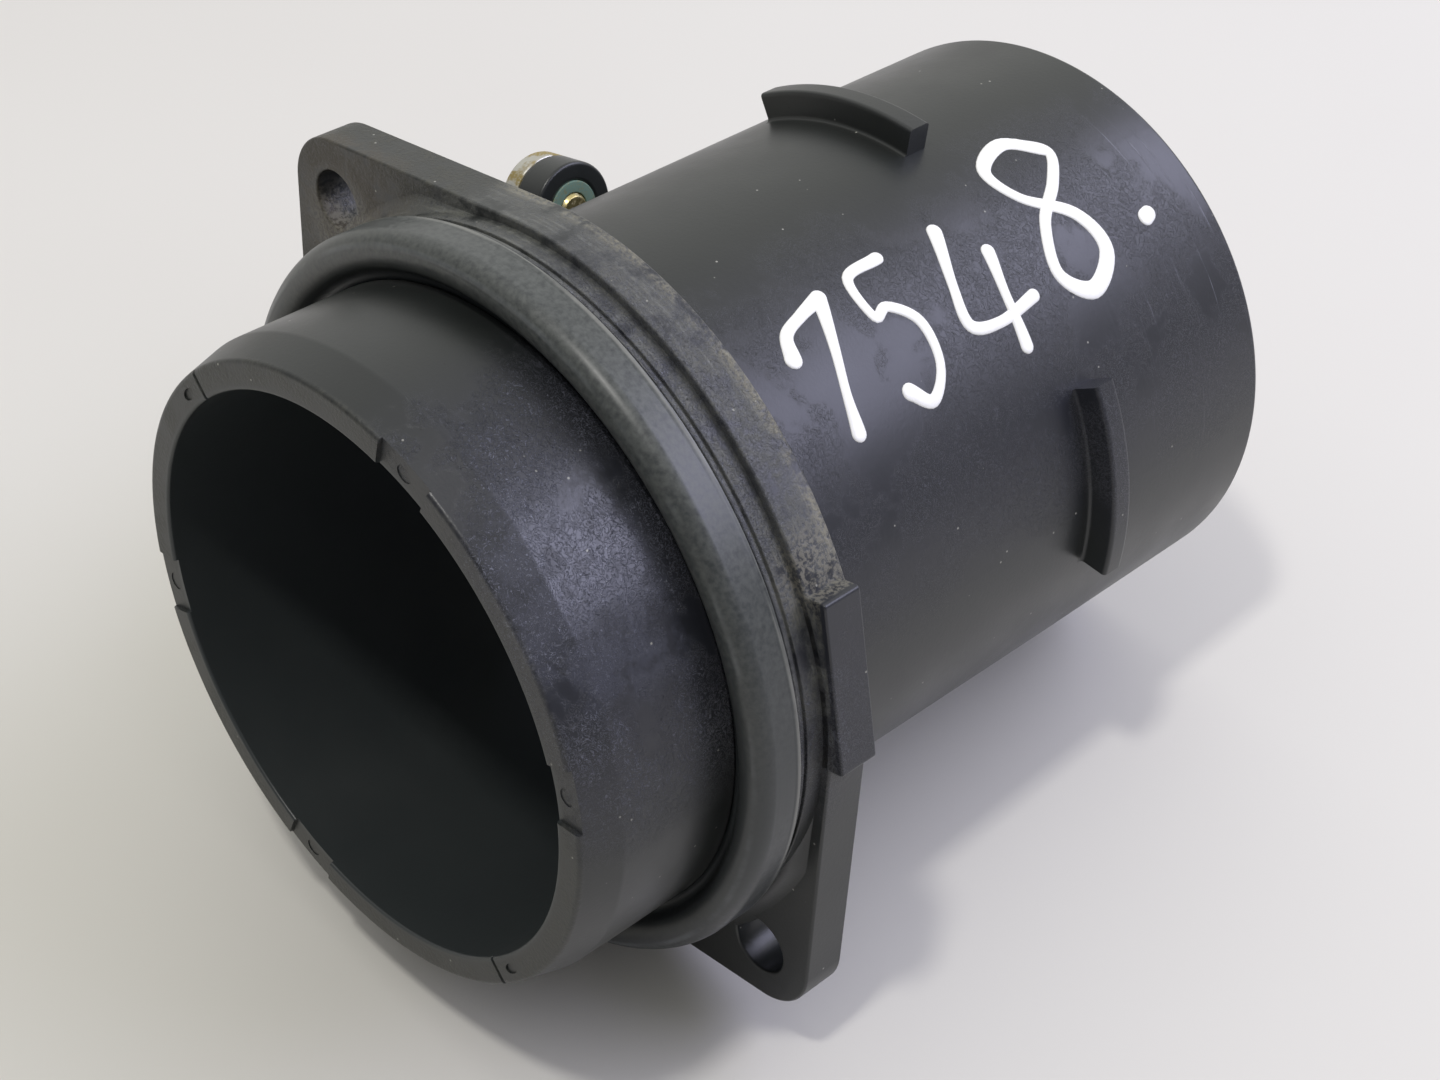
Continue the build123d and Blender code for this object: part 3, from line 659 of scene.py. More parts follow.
# %% Tree: copies on both lugs
lugs_tree, given = geometry_tree(
    "pair_on_lugs", Spacing="Float", Count="Int", Turn="Float", Seed="Int"
)
gap = add(lugs_tree, "ShaderNodeCombineXYZ", Y=given["Spacing"]).outputs[0]
start = vector_maths(lugs_tree, "SCALE", gap, Scale=-0.5)[0]
row = {"Count": given["Count"], "Start_Location": start, "Offset": gap}
places = add(lugs_tree, "GeometryNodeMeshLine", **row).outputs["Mesh"]
chance = add(lugs_tree, "FunctionNodeRandomValue", {"data_type": "FLOAT"}, Seed=given["Seed"])
swing = maths(lugs_tree, "MULTIPLY", chance.outputs[1], given["Turn"])
pair = copied(lugs_tree, places, given["Geometry"], swing)
end_tree(lugs_tree, given, pair)

# %% Turned fasteners


def turned_upright(profile, count, change=None):
    """Mesh data of a closed (height, radius) profile turned about Z."""
    mesh = turned(profile, [360 * k / count for k in range(count)], change)
    bmesh.ops.transform(mesh, verts=mesh.verts, matrix=DUCT_FRAME)
    bmesh.ops.recalc_face_normals(mesh, faces=mesh.faces)
    return merged("turned_upright", [mesh])


def on_lugs(name, source, height, turn=0.0, seed=0):
    """Piece with a copy of the source on each lug, its z = 0 at that height over the duct's axis."""
    values = {"Spacing": 2 * LUG_OFFSET * MM, "Count": 2, "Turn": turn, "Seed": seed}
    mesh_data = grown(name, lugs_tree, source, values)
    mesh_data.transform(seat_frame(height))
    return shaded(mesh_data, name)


def sleeve(height, bore, outside, *rounding):
    """Section of a sleeve on z = 0, with the rounding of its four corners."""
    corners = ((0, bore), (0, outside), (height, outside), (height, bore))
    return rounded([(*corner, radius) for corner, radius in zip(corners, rounding)])


SCREW_HEAD_RADIUS, SCREW_HEAD_HEIGHT, SCREW_RADIUS, TIP_REACH = 3.9, 3.4, 2.0, 0.4
SOCKET_RADIUS, SOCKET_DEPTH, LOBE = 1.4, 1.6, 0.14
BUSHING_BORE, INSERT_RADIUS, INSERT_BORE = 2.2, 3.5, 2.06
HAIR = 0.02
HEAD_BASE = PAD_HEIGHT + BUSHING_HEIGHT
TIP = PAD_HEIGHT - LUG_THICKNESS - TIP_REACH - HEAD_BASE
SHANK_RADIUS, SOCKET_FLOOR = SCREW_RADIUS - HAIR, SCREW_HEAD_HEIGHT - SOCKET_DEPTH


def six_lobes(angle, height, radius):
    """Gives the drive socket its six lobes."""
    if height > 1.5 and radius < 1.7:
        radius *= 1 + LOBE * math.cos(math.radians(6 * angle))
    return height, radius


screw_profile = rounded(
    [
        (TIP, HAIR, 0),
        (TIP, SCREW_RADIUS - 0.35, 0.2),
        (TIP + 0.5, SHANK_RADIUS, 0.2),
        (0, SHANK_RADIUS, 0),
        (0, SCREW_HEAD_RADIUS, 0.25),
        (1.6, SCREW_HEAD_RADIUS, 0.5),
        (SCREW_HEAD_HEIGHT, SCREW_HEAD_RADIUS - 1.7, 2.2),
        (SCREW_HEAD_HEIGHT, SOCKET_RADIUS + 0.05, 0.1),
        (SOCKET_FLOOR, SOCKET_RADIUS, 0),
        (SOCKET_FLOOR, HAIR, 0),
    ],
    steps=6,
)
screws = on_lugs("lug_screws", turned_upright(screw_profile, 72, six_lobes), HEAD_BASE, 1.7, 4)

bushing_profile = sleeve(BUSHING_HEIGHT, BUSHING_BORE, LUG_RADIUS, 0.1, 0.3, 0.35, 0.1)
bushings = on_lugs("lug_bushings", turned_upright(bushing_profile, 72), PAD_HEIGHT)

insert_profile = sleeve(LUG_THICKNESS, INSERT_BORE, INSERT_RADIUS, 0.15, 0.2, 0.1, 0.1)
inserts = on_lugs("lug_inserts", turned_upright(insert_profile, 64), PAD_HEIGHT - LUG_THICKNESS)
print("fasteners:", len(screws.data.polygons) + len(bushings.data.polygons), "faces")

# %% [markdown]
# ## Module mouldings with eased edges
# The sensor body and its cover keep the CAD model's shape, but a moulded edge is never sharp.
# Their triangles are merged back into flat faces in a copy, and a Bevel modifier eases the
# edges by a fraction of a millimetre, which gives each edge a thin line of light.

# %% Eased copies of CAD nodes


def eased(node_name, name, width):
    """Piece made from a CAD node with its flat faces merged and its edges slightly rounded."""
    mesh = bmesh.new()
    mesh.from_mesh(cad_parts[node_name].data)
    bmesh.ops.remove_doubles(mesh, verts=mesh.verts, dist=2e-6)
    flat_angle = math.radians(0.5)
    bmesh.ops.dissolve_limit(mesh, angle_limit=flat_angle, verts=mesh.verts, edges=mesh.edges)
    mesh_data = merged(name, [mesh])
    mesh_data.shade_smooth()
    mesh_data.set_sharp_from_angle(angle=math.radians(30))
    maker = bpy.data.objects.new(name + "_maker", mesh_data)
    bevel = maker.modifiers.new("eased_edges", "BEVEL")
    bevel.width, bevel.segments, bevel.limit_method = width * MM, 2, "ANGLE"
    bevel.angle_limit, bevel.harden_normals = math.radians(50), True
    bevel.use_clamp_overlap, bevel.miter_outer = True, "MITER_ARC"
    return settle(maker, name)


module_body = eased("sensor_body", "module_moulding", 0.25)
module_lid = eased("tray_cover", "module_lid", 0.2)
print("eased:", len(module_body.data.polygons) + len(module_lid.data.polygons), "faces")

# %% [markdown]
# ## Painted numerals
# Someone wrote a number on the tube with a white paint pen. The paint stands up a little and
# is thickest along the middle of a stroke. Each stroke is a smooth line through a few points
# of (along the duct, up round it, half width), and a low rounded section follows it.

# %% Pen strokes on the tube
PAINT_HEIGHT, PAINT_SUNK, FULL_WIDTH = 0.2, 0.1, 0.7
ACROSS = 6
MIDDLE_RADIUS = (TUBE_ROOT_RADIUS + HOSE_SEAT_RADIUS) / 2


def on_tube(along, up, height):
    """Place on the tube's slightly drafted surface, in metres."""
    draft = (along - FLANGE_THICKNESS) / (HOSE_SEAT_START - FLANGE_THICKNESS)
    radius = TUBE_ROOT_RADIUS + (HOSE_SEAT_RADIUS - TUBE_ROOT_RADIUS) * min(1.0, draft) + height
    x, z = polar(radius, math.degrees(up / MIDDLE_RADIUS))
    return Vector((x, along, z)) * MM


def smooth_line(points, steps=8):
    """Catmull-Rom line through points of any dimension."""
    points = [Vector(p) for p in points]
    ends = [points[0] * 2 - points[1]] + points + [points[-1] * 2 - points[-2]]
    line = []
    for before, start, end, after in zip(ends, ends[1:], ends[2:], ends[3:]):
        for k in range(steps):
            t = k / steps
            bend = (2 * before - 5 * start + 4 * end - after) * t**2
            twist = (3 * start - before - 3 * end + after) * t**3
            line.append(0.5 * (2 * start + (end - before) * t + bend + twist))
    return line + [points[-1]]


def pen_stroke(points):
    """Closed bmesh of one stroke with round ends."""
    line = smooth_line(points)
    first, last = line[0], line[-1]
    out = (first - line[1]).normalized()
    on = (last - line[-2]).normalized()
    caps = [math.sin(math.radians(a)) for a in (88, 65, 40, 20)]
    starts = [(first + out * first.z * c, first.z * math.sqrt(1 - c * c)) for c in caps]
    closes = [(last + on * last.z * c, last.z * math.sqrt(1 - c * c)) for c in reversed(caps)]
    samples = starts + [(p, p.z) for p in line] + closes
    mesh = bmesh.new()
    rings = []
    for i, (centre, half) in enumerate(samples):
        ahead = samples[min(i + 1, len(samples) - 1)][0] - samples[max(i - 1, 0)][0]
        side = Vector((-ahead.y, ahead.x)).normalized()
        ring = []
        for k in range(ACROSS + 1):
            across = math.cos(math.pi * k / ACROSS)
            rise = PAINT_HEIGHT * min(1.0, half / FULL_WIDTH) * math.sqrt(1 - across * across)
            spot = centre.xy + side * half * across
            ring.append(mesh.verts.new(on_tube(spot.x, spot.y, rise)))
        for across in (-1, 1):
            spot = centre.xy + side * half * across
            ring.append(mesh.verts.new(on_tube(spot.x, spot.y, -PAINT_SUNK)))
        rings.append(ring)
    bridged(mesh, rings)
    mesh.faces.new(rings[0])
    mesh.faces.new(list(reversed(rings[-1])))
    bmesh.ops.recalc_face_normals(mesh, faces=mesh.faces)
    return mesh


seven = [(17.2, 37.2, 1.05), (18.4, 39.8, 0.75), (21.4, 41.0, 0.7), (24.9, 41.9, 0.95)]
seven_leg = [(24.9, 41.9, 0.95), (22.6, 36.6, 0.65), (20.6, 31.6, 0.6), (19.6, 27.4, 0.95)]
five = [(34.6, 42.9, 0.8), (29.6, 42.3, 0.65), (29.2, 37.2, 0.6), (31.4, 37.6, 0.65)]
five += [(34.0, 34.6, 0.7), (33.4, 29.6, 0.6), (30.4, 26.6, 0.75), (28.0, 28.6, 1.0)]
four = [(43.4, 42.6, 0.95), (40.6, 36.4, 0.65), (39.6, 31.6, 0.8)]
four += [(43.8, 30.4, 0.65), (49.6, 31.2, 0.8)]
four_leg = [(47.6, 37.8, 0.9), (46.2, 32.8, 0.65), (45.4, 26.8, 0.9)]
eight = [(64.6, 45.4, 0.8), (60.6, 48.6, 1.0), (55.4, 46.4, 0.85), (56.4, 41.6, 0.7)]
eight += [(61.6, 37.0, 0.9), (62.6, 31.8, 1.05), (58.0, 28.6, 1.1), (54.4, 32.0, 0.85)]
eight += [(57.0, 37.6, 0.75), (62.0, 41.4, 0.75), (65.0, 45.0, 0.7), (62.4, 47.8, 0.85)]
dot = [(70.5, 32.9, 1.05), (71.2, 33.1, 1.0)]
strokes = [pen_stroke(points) for points in (seven, seven_leg, five, four, four_leg, eight, dot)]
print("pen strokes:", len(strokes))

# %% [markdown]
# ## Housing plastic
# The duct is polyamide filled with about a third of glass fibre, moulded in a fine-grained
# tool. It is a cool charcoal with a satin shine that varies in soft patches. Years under a
# bonnet have left brown dust in the corners, small pale specks, curly scuff marks and long
# scratches round the hose end. Each effect is one pattern, limited to where it belongs.
# Some patterns also paint light into the colour: a violet sheen on one side, a highlight on
# the spigot, glints in the scuff marks and a sheen on the collar.

# %% Helpers for patterns


def zone(tree, value, low, high):
    """Socket that rises from 0 to 1 as the value goes from low to high."""
    smooth = {"interpolation_type": "SMOOTHSTEP"}
    rise = add(tree, "ShaderNodeMapRange", smooth, Value=value, From_Min=low, From_Max=high)
    return rise.outputs["Result"]


def combined(tree, operation, values):
    """Sockets, numbers and (value, low, high) zones put together by a maths operation."""
    result, *others = [zone(tree, *v) if isinstance(v, tuple) else v for v in values]
    for value in others:
        result = maths(tree, operation, result, value)
    return result


def product(tree, *values):
    """Product of sockets, numbers and zones."""
    return combined(tree, "MULTIPLY", values)


def largest(tree, *values):
    """Largest of several sockets."""
    return combined(tree, "MAXIMUM", values)


def changed(tree, start, share, amount):
    """Start value plus an amount by a share."""
    return maths(tree, "MULTIPLY_ADD", share, amount, start)


def noise(tree, place, scale, detail=4.0, **more):
    """Noise pattern over a place."""
    sizes = {"Scale": scale, "Detail": detail, **more}
    return add(tree, "ShaderNodeTexNoise", Vector=place, **sizes).outputs["Fac"]


def spread(tree, pattern, low, high):
    """Number that goes from low to high over the usual range of a noise pattern."""
    ends = {"From_Min": 0.3, "From_Max": 0.7, "To_Min": low, "To_Max": high}
    return add(tree, "ShaderNodeMapRange", Value=pattern, **ends).outputs[0]


def near(tree, place, centre, reach):
    """Socket that is 1 at a centre and falls to 0 at a distance from it, in millimetres."""
    away = vector_maths(tree, "DISTANCE", place, centre)["Value"]
    return zone(tree, away, reach, reach * 0.3)


def towards(tree, place, direction):
    """Reach of a place along a direction."""
    return vector_maths(tree, "DOT_PRODUCT", place, direction)["Value"]


def painted_over(tree, share, under, colour):
    """Colour socket with a colour laid over another by a share."""
    layers = {"Factor": share, "A": under, "B": linear(colour)}
    return add(tree, "ShaderNodeMix", {"data_type": "RGBA"}, **layers).outputs["Result"]


def layered(tree, colour, *layers):
    """Colour with layers of (share, strength, colour) painted over it in turn."""
    for share, strength, layer in layers:
        colour = painted_over(tree, product(tree, share, strength), colour, layer)
    return colour


def relief(tree, *bumps):
    """Normal of bumps laid on each other, as (height pattern, strength, millimetres)."""
    under = {}
    for height, strength, depth in bumps:
        size = {"Strength": strength, "Distance": depth * MM}
        bump = add(tree, "ShaderNodeBump", Height=height, **size, **under)
        under = {"Normal": bump.outputs[0]}
    return bump.outputs[0]


def in_millimetres(tree):
    """Place on the object in millimetres."""
    where = add(tree, "ShaderNodeTexCoord").outputs["Object"]
    return vector_maths(tree, "SCALE", where, Scale=1 / MM)[0]


def on_duct(tree, place):
    """Place along the duct's axis, height over the axis and distance from it."""
    parts = add(tree, "ShaderNodeSeparateXYZ", Vector=place).outputs
    flat = vector_maths(tree, "MULTIPLY", place, (1, 0, 1))[0]
    return parts["Y"], parts["Z"], vector_maths(tree, "LENGTH", flat)["Value"]


print("pattern helpers ready")

# %% Material: glass-filled polyamide
# The side that gets a painted violet sheen, and the scuff marks, faces 45 degrees up on +X.
# Dirt has caked at one end of the key and in the corner of the upper ear.
SHEEN_AND_WEAR_SIDE, KEY_SIDE = (0.0205, 0, 0.0205), (0.966, 0, 0.259)
KEY_END, EAR_CORNER, EAR_MIDDLE = (35.8, 2.8, 23.4), (-34.0, -0.5, 26.0), (-33.0, 0.0, 28.0)


def housing_plastic():
    """Charcoal glass-filled polyamide, worn and dusty."""
    material, tree, shader = new_material("glass_filled_polyamide")
    place = in_millimetres(tree)
    y, z, radius = on_duct(tree, place)
    grain = noise(tree, place, 2.2, Roughness=0.62)
    clouds = noise(tree, place, 0.07, Roughness=0.6)
    blots = noise(tree, place, 0.28, 5.0, Roughness=0.68)
    curls = noise(tree, place, 1.1, 3.0, Roughness=0.55, Distortion=3.0)
    drawn_out = add(tree, "ShaderNodeMapping", Vector=place, Scale=(0.05, 1.7, 0.05)).outputs[0]
    rings = noise(tree, drawn_out, 1.0, Roughness=0.7)
    specks = add(tree, "ShaderNodeTexVoronoi", Vector=place, Scale=0.55).outputs
    chosen = add(tree, "ShaderNodeSeparateColor", Color=specks["Color"]).outputs[0]

    # Wear and painted light: scuff marks with painted glints, lines of the hose clamp, and the spot
    # where the hose has polished the spigot, which also gets a painted highlight.
    facing = towards(tree, place, SHEEN_AND_WEAR_SIDE)
    # Side facing up on +X: it carries a painted violet sheen and holds the scuff marks and rings.
    sheen_and_scuff_side = zone(tree, facing, 0.72, 1.0)
    outside = zone(tree, radius, 32.6, 33.4)
    handled = changed(tree, 0.25, zone(tree, y, 4.0, -4.0), 0.75)
    curl = product(tree, (curls, 0.46, 0.49), (curls, 0.54, 0.51))
    # Real scuff marks; their pale colour also paints the glints of their curls in the sheen.
    scuffs_and_glints = product(tree, curl, (clouds, 0.42, 0.58), sheen_and_scuff_side, outside, handled)
    ring_lines = product(tree, (rings, 0.6, 0.72), sheen_and_scuff_side, (y, 56.0, 74.0))
    # Polished spot on the spigot; its colour layer is a painted highlight, its roughness real polish.
    polish_and_highlight = product(
        tree, (facing, 0.985, 1.04), (y, -8.0, -12.0), (blots, 0.36, 0.56), outside
    )

    # Dust and dirt: on the end face, over the flange and in the corners. The upper collar also gets a
    # painted sheen, and the bore a lighter colour.
    off_key = zone(tree, towards(tree, place, KEY_SIDE), 42.95, 42.6)
    end_face = product(tree, (y, -26.1, -26.6), outside, 0.5)
    flange_near = product(
        tree, (y, -3.3, -2.4), (y, 9.5, 4.0), (radius, 34, 38), (z, -6.0, 14.0), off_key
    )
    key_end = product(tree, near(tree, place, KEY_END, 6.5), off_key)
    ear_corner = near(tree, place, EAR_CORNER, 9.0)
    caked = product(tree, largest(tree, key_end, ear_corner), (grain, 0.42, 0.58))
    dusty = largest(tree, end_face, flange_near, key_end, ear_corner)
    dust = product(tree, dusty, (blots, 0.34, 0.62), (grain, 0.3, 0.62))
    ear = near(tree, place, EAR_MIDDLE, 17.0)
    ear_dirt = product(tree, ear, (y, 3.0, 0.8), (radius, 40.5, 41.5), (blots, 0.3, 0.55))
    rear_edge = product(
        tree, (y, 3.4, 4.9), (y, 5.39, 5.3), (radius, 40.5, 41.5), (radius, 43.2, 42.7), off_key
    )
    edge_band = product(tree, rear_edge, (z, 2.0, 14.0), (blots, 0.38, 0.58), (grain, 0.3, 0.6))
    on_collar = product(
        tree, (y, -3.6, -2.8), (y, 5.8, 5.0), (radius, 40, 41), off_key, (radius, 43.4, 42.6)
    )
    streaks = product(tree, on_collar, (z, -4.0, 16.0), (rings, 0.5, 0.62), (blots, 0.42, 0.6))
    # Upper collar: partly a dust film and partly a painted sheen.
    collar_haze_and_sheen = product(tree, on_collar, (z, -4.0, 20.0), (blots, 0.3, 0.6))
    # The colour is lighter inside the bore.
    lighter_bore = zone(tree, radius, 32.9, 32.4)
    speck = zone(tree, specks["Distance"], 0.085, 0.05)
    pale_specks = product(tree, speck, (chosen, 0.8, 0.82), outside)
    dark_specks = product(tree, speck, (chosen, 0.14, 0.12), outside)

    # Colour, from the plain plastic up to the dirt that lies on it; painted sheens and a painted
    # highlight lie among the layers.
    colour = layered(
        tree,
        painted_over(tree, clouds, linear("#1f2222"), "#2a2c2b"),
        # Painted sheen: a violet tint on the side facing up on +X stands in for the window's
        # reflection.
        (sheen_and_scuff_side, 0.4, "#282836"),
        # Lighter colour inside the bore.
        (lighter_bore, 0.5, "#3b4042"),
        # Painted highlight: pale blue-grey on the polished spot stands in for the window's reflection.
        (polish_and_highlight, 0.34, "#5d5f6c"),
        # Scuff marks, lightened blue-grey as painted glints in the sheen.
        (scuffs_and_glints, 0.55, "#8f92a2"),
        (ring_lines, 0.5, "#9092a0"),
        # Painted sheen with some dust on the upper collar.
        (collar_haze_and_sheen, 0.2, "#8e9193"),
        (streaks, 0.34, "#8a8b86"),
        (dust, 0.45, "#65645a"),
        (ear_dirt, 0.45, "#564c40"),
        (edge_band, 0.6, "#8f8a78"),
        (caked, 0.75, "#77746a"),
        (pale_specks, 0.8, "#a5a49c"),
        (dark_specks, 0.8, "#121214"),
    )

    # Shine: satin, glossier where rubbed, dull under dust.
    shine = spread(tree, clouds, 0.3, 0.4)
    for share, amount in ((scuffs_and_glints, -0.12), (polish_and_highlight, -0.13), (dust, 0.3)):
        shine = changed(tree, shine, share, amount)

    # Relief: the tool's grain, 0.03 mm deep, then scuffs, rings and dust.
    normal = relief(
        tree, (grain, 0.5, 0.03), (scuffs_and_glints, 1.0, 0.14), (ring_lines, 0.6, 0.03), (dust, 0.7, 0.06)
    )
    feed(tree, shader, Base_Color=colour, Roughness=shine, Normal=normal, IOR=1.51)
    return material


housing_finish = housing_plastic()
print(housing_finish.name, len(housing_finish.node_tree.nodes), "nodes")

# %% [markdown]
# ## Seal rubber
# Nitrile rubber is a softer, flatter black than the plastic. It attracts fine dust, so its
# bead is greyer on top. A faint crease runs round it where it was squeezed in its socket, and
# the thin lip at the back is paler along its outer edge.

# %% Material: nitrile rubber


def seal_rubber():
    """Dusty nitrile rubber with a paler lip edge."""
    material, tree, shader = new_material("nitrile_rubber")
    place = in_millimetres(tree)
    y, z, radius = on_duct(tree, place)
    powder = noise(tree, place, 1.6, Roughness=0.6)
    clouds = noise(tree, place, 0.09, Roughness=0.6)
    drawn_out = add(tree, "ShaderNodeMapping", Vector=place, Scale=(0.07, 1.6, 0.07)).outputs[0]
    rings = noise(tree, drawn_out, 1.0, 3.0)
    crease = product(tree, (radius, 40.4, 40.8), (radius, 41.3, 40.9), (clouds, 0.35, 0.6))
    # The thin back lip is paler along its outer edge.
    pale_lip_edge = product(tree, (y, -4.35, -4.05), (radius, 41.4, 41.8), (rings, 0.35, 0.6))
    powdery = product(tree, (z, -10.0, 40.0), (powder, 0.1, 0.8), (radius, 37.0, 39.5))
    colour = layered(
        tree,
        painted_over(tree, clouds, linear("#26292b"), "#303435"),
        (powdery, 0.42, "#767974"),
        (crease, 0.3, "#74787c"),
        (pale_lip_edge, 0.35, "#a8a79f"),
    )
    shine = spread(tree, powder, 0.32, 0.42)
    normal = relief(tree, (powder, 0.2, 0.01), (rings, 0.3, 0.04), (crease, 0.6, 0.1))
    feed(tree, shader, Base_Color=colour, Roughness=shine, Normal=normal, IOR=1.52)
    return material


rubber_finish = seal_rubber()
print(rubber_finish.name, len(rubber_finish.node_tree.nodes), "nodes")

# %% [markdown]
# ## Small parts
# The metal, ceramic and plastic small parts differ in colour, shine and grain, but all of them
# are a clean material with some of another colour on it: tarnish, dust, flux or wear. One
# function makes such a finish from real sizes, and each call says what the part is made of.

# %% Material: a clean surface with a stain on it
# Each call gives the name, the two colours, the share stained, the roughness, the metallic
# share, and then the sizes of the grain, the patches and the relief in millimetres.


def stained(name, colour, stain, share, roughness, metallic=0.0, grain=0.3, patch=1.5, deep=0.005):
    """Finish with grain and stained patches."""
    material, tree, shader = new_material(name)
    place = in_millimetres(tree)
    grains = noise(tree, place, 1 / grain, 3.0)
    patches = noise(tree, place, 1 / patch, Roughness=0.65)
    cover = product(tree, (patches, 0.78 - 0.6 * share, 0.92 - 0.6 * share), (grains, 0.2, 0.5))
    shine = spread(tree, grains, roughness - 0.06, roughness + 0.08)
    base = painted_over(tree, cover, linear(colour), stain)
    dulled = changed(tree, shine, cover, 0.25)
    normal = relief(tree, (grains, 0.5, deep))
    feed(tree, shader, Base_Color=base, Roughness=dulled, Normal=normal)
    if metallic:
        feed(tree, shader, Metallic=changed(tree, metallic, cover, -0.8 * metallic))
    return material


print("small-part finishes ready")

# %% Metals of the fasteners and the terminals
# Zinc-plated steel bushing: pale grey, with brown-gold corrosion in patches.
bushing_finish = stained("zinc_plated_steel", "#c4c2ba", "#948452", 0.6, 0.42, 1.0, 0.3, 3.5)
# Yellow-chromated steel screw: warm straw, greyer where the coating has worn.
screw_finish = stained("yellow_chromated_steel", "#cdbd86", "#b8b094", 0.5, 0.32, 1.0, 0.2, 1.2)
# Brass insert, almost covered with green verdigris.
brass_finish = stained("brass_with_verdigris", "#8d8a66", "#6f8a7c", 0.9, 0.55, 0.4, 0.3, 1.2, 0.03)
# Tin-plated bronze terminals: soft bright grey.
terminal_finish = stained("tin_plated_bronze", "#d6d5d1", "#a9a7a0", 0.3, 0.28, 1.0, 0.2, 1.0)
# Drawn aluminium wire: cool, bright and smooth.
wire_finish = stained("aluminium_wire", "#dcdde0", "#b5b6b8", 0.3, 0.25, 1.0, 0.15, 1.0)
# Rolled aluminium plate under the board: paler, with dull patches.
plate_finish = stained("rolled_aluminium", "#c3c5c8", "#9a9c9f", 0.3, 0.35, 1.0, 0.2, 3.0)
# Nickel-clad thermistor leads: warm bright grey.
lead_finish = stained("nickel_clad_wire", "#cfcac0", "#a8a293", 0.3, 0.3, 1.0, 0.15, 1.0)
print("metals done")

# %% Plastics, rubber and sealant of the module
# Polybutylene terephthalate of the sensor body: blacker and finer-grained than the duct.
module_finish = stained("polybutylene_moulding", "#26272a", "#5b574e", 0.2, 0.42, 0.0, 0.35, 6.0, 0.012)
# The lid is the same plastic from another tool, a little glossier.
lid_finish = stained("polybutylene_lid", "#292a2d", "#615d54", 0.22, 0.36, 0.0, 0.3, 7.0, 0.01)
# The channel's cover is the same black, and clean inside the duct.
channel_finish = stained("polybutylene_cover", "#202124", "#4b4943", 0.15, 0.4, 0.0, 0.3, 5.0, 0.01)
# Silicone of the neck's seal: dull dark grey.
neck_finish = stained("silicone_rubber", "#3d3f41", "#6a6a66", 0.2, 0.55, 0.0, 0.3, 2.0)
# Grey silicone adhesive squeezed out under the lid.
sealant_finish = stained("silicone_sealant", "#4a4b4c", "#77766f", 0.3, 0.5, 0.0, 0.4, 1.5, 0.02)
print("plastics done")

# %% Electronics
# Green solder mask over copper: glossy, lighter where copper lies under it.
board_finish = stained("solder_mask", "#1f5138", "#2f6a4b", 0.4, 0.3, 0.0, 0.5, 1.2)
# Moulded epoxy packages: flat black with a very fine grain.
chip_finish = stained("moulded_epoxy", "#242426", "#3a3a3b", 0.3, 0.5, 0.0, 0.12, 1.0, 0.01)
# Barium titanate capacitors, tan, with grey fired ends.
capacitor_finish = stained("ceramic_capacitor", "#a88a62", "#b9b4aa", 0.35, 0.45, 0.0, 0.1, 0.8)
# Resistors: black glaze between pale ends.
resistor_finish = stained("resistor_glaze", "#1c1c1f", "#b8b6b0", 0.2, 0.3, 0.0, 0.1, 0.7)
# Alumina carrier of the heated element: warm white and matt.
carrier_finish = stained("alumina_ceramic", "#e6e1d6", "#cfc8b8", 0.3, 0.4, 0.0, 0.1, 1.5)
# Platinum film under glass: a grey shine with darker tracks.
element_finish = stained("platinum_film", "#8f8a80", "#5f5a50", 0.4, 0.25, 0.8, 0.1, 0.6)
# Glass-sealed thermistor bead: brown and very glossy.
bead_finish = stained("sealed_glass_bead", "#4b3a2a", "#6b5640", 0.3, 0.12, 0.0, 0.2, 0.8)
print("electronics done")

# %% [markdown]
# ## Paint
# Oil-based paint-pen white covers in one coat and dries glossy, with a slightly uneven skin.

# %% Material: paint-pen white
paint_finish, tree, shader = new_material("paint_pen_white")
skin = noise(tree, in_millimetres(tree), 0.9, 3.0)
thin = product(tree, (skin, 0.5, 0.8), 0.5)
shine = add(tree, "ShaderNodeMapRange", Value=skin, To_Min=0.2, To_Max=0.42).outputs[0]
paint_colour = painted_over(tree, thin, linear("#fbfbf9"), "#eceae4")
normal = relief(tree, (skin, 0.4, 0.04))
feed(tree, shader, Base_Color=paint_colour, Roughness=shine, Normal=normal)
print(paint_finish.name, len(tree.nodes), "nodes")

# %% [markdown]
# ## Dressing
# Finer meshes replace the CAD nodes that they stand for, and the painted numerals are the only
# piece that is added. The other nodes keep their own meshes and only get a finish.

# %% Dress every piece and every CAD node
housing_shells = [turned_body, plate, key_plate, fillets, pad_plate, lug_plate, stops]
duct = joined("duct_moulding", housing_shells)
dress(duct, housing_finish, "housing_plastic", "duct_housing")
ring = joined("seal_ring_rubber", [seal], 30)
dress(ring, rubber_finish, "seal_rubber", "seal_ring")
for piece, finish, slot, node in (
    (screws, screw_finish, "screw_steel", "sensor_screws"),
    (bushings, bushing_finish, "bushing_steel", "flange_bushings"),
    (inserts, brass_finish, "insert_brass", "screw_inserts"),
    (module_body, module_finish, "module_plastic", "sensor_body"),
    (module_lid, lid_finish, "module_plastic", "tray_cover"),
):
    dress(piece, finish, slot, node)
numerals = joined("pen_numerals", strokes, 60)
dress(numerals, paint_finish, "housing_plastic")
node_finishes = {
    "neck_seal": neck_finish,
    "tray_sealant": sealant_finish,
    "channel_cover": channel_finish,
    "terminal_pins": terminal_finish,
    "base_plate": plate_finish,
    "circuit_board": board_finish,
    "control_chip": chip_finish,
    "output_stage": chip_finish,
    "board_capacitors": capacitor_finish,
    "board_resistors": resistor_finish,
    "bond_wires": wire_finish,
    "chip_carrier": carrier_finish,
    "heated_element": element_finish,
    "thermistor_bead": bead_finish,
    "thermistor_leads": lead_finish,
}
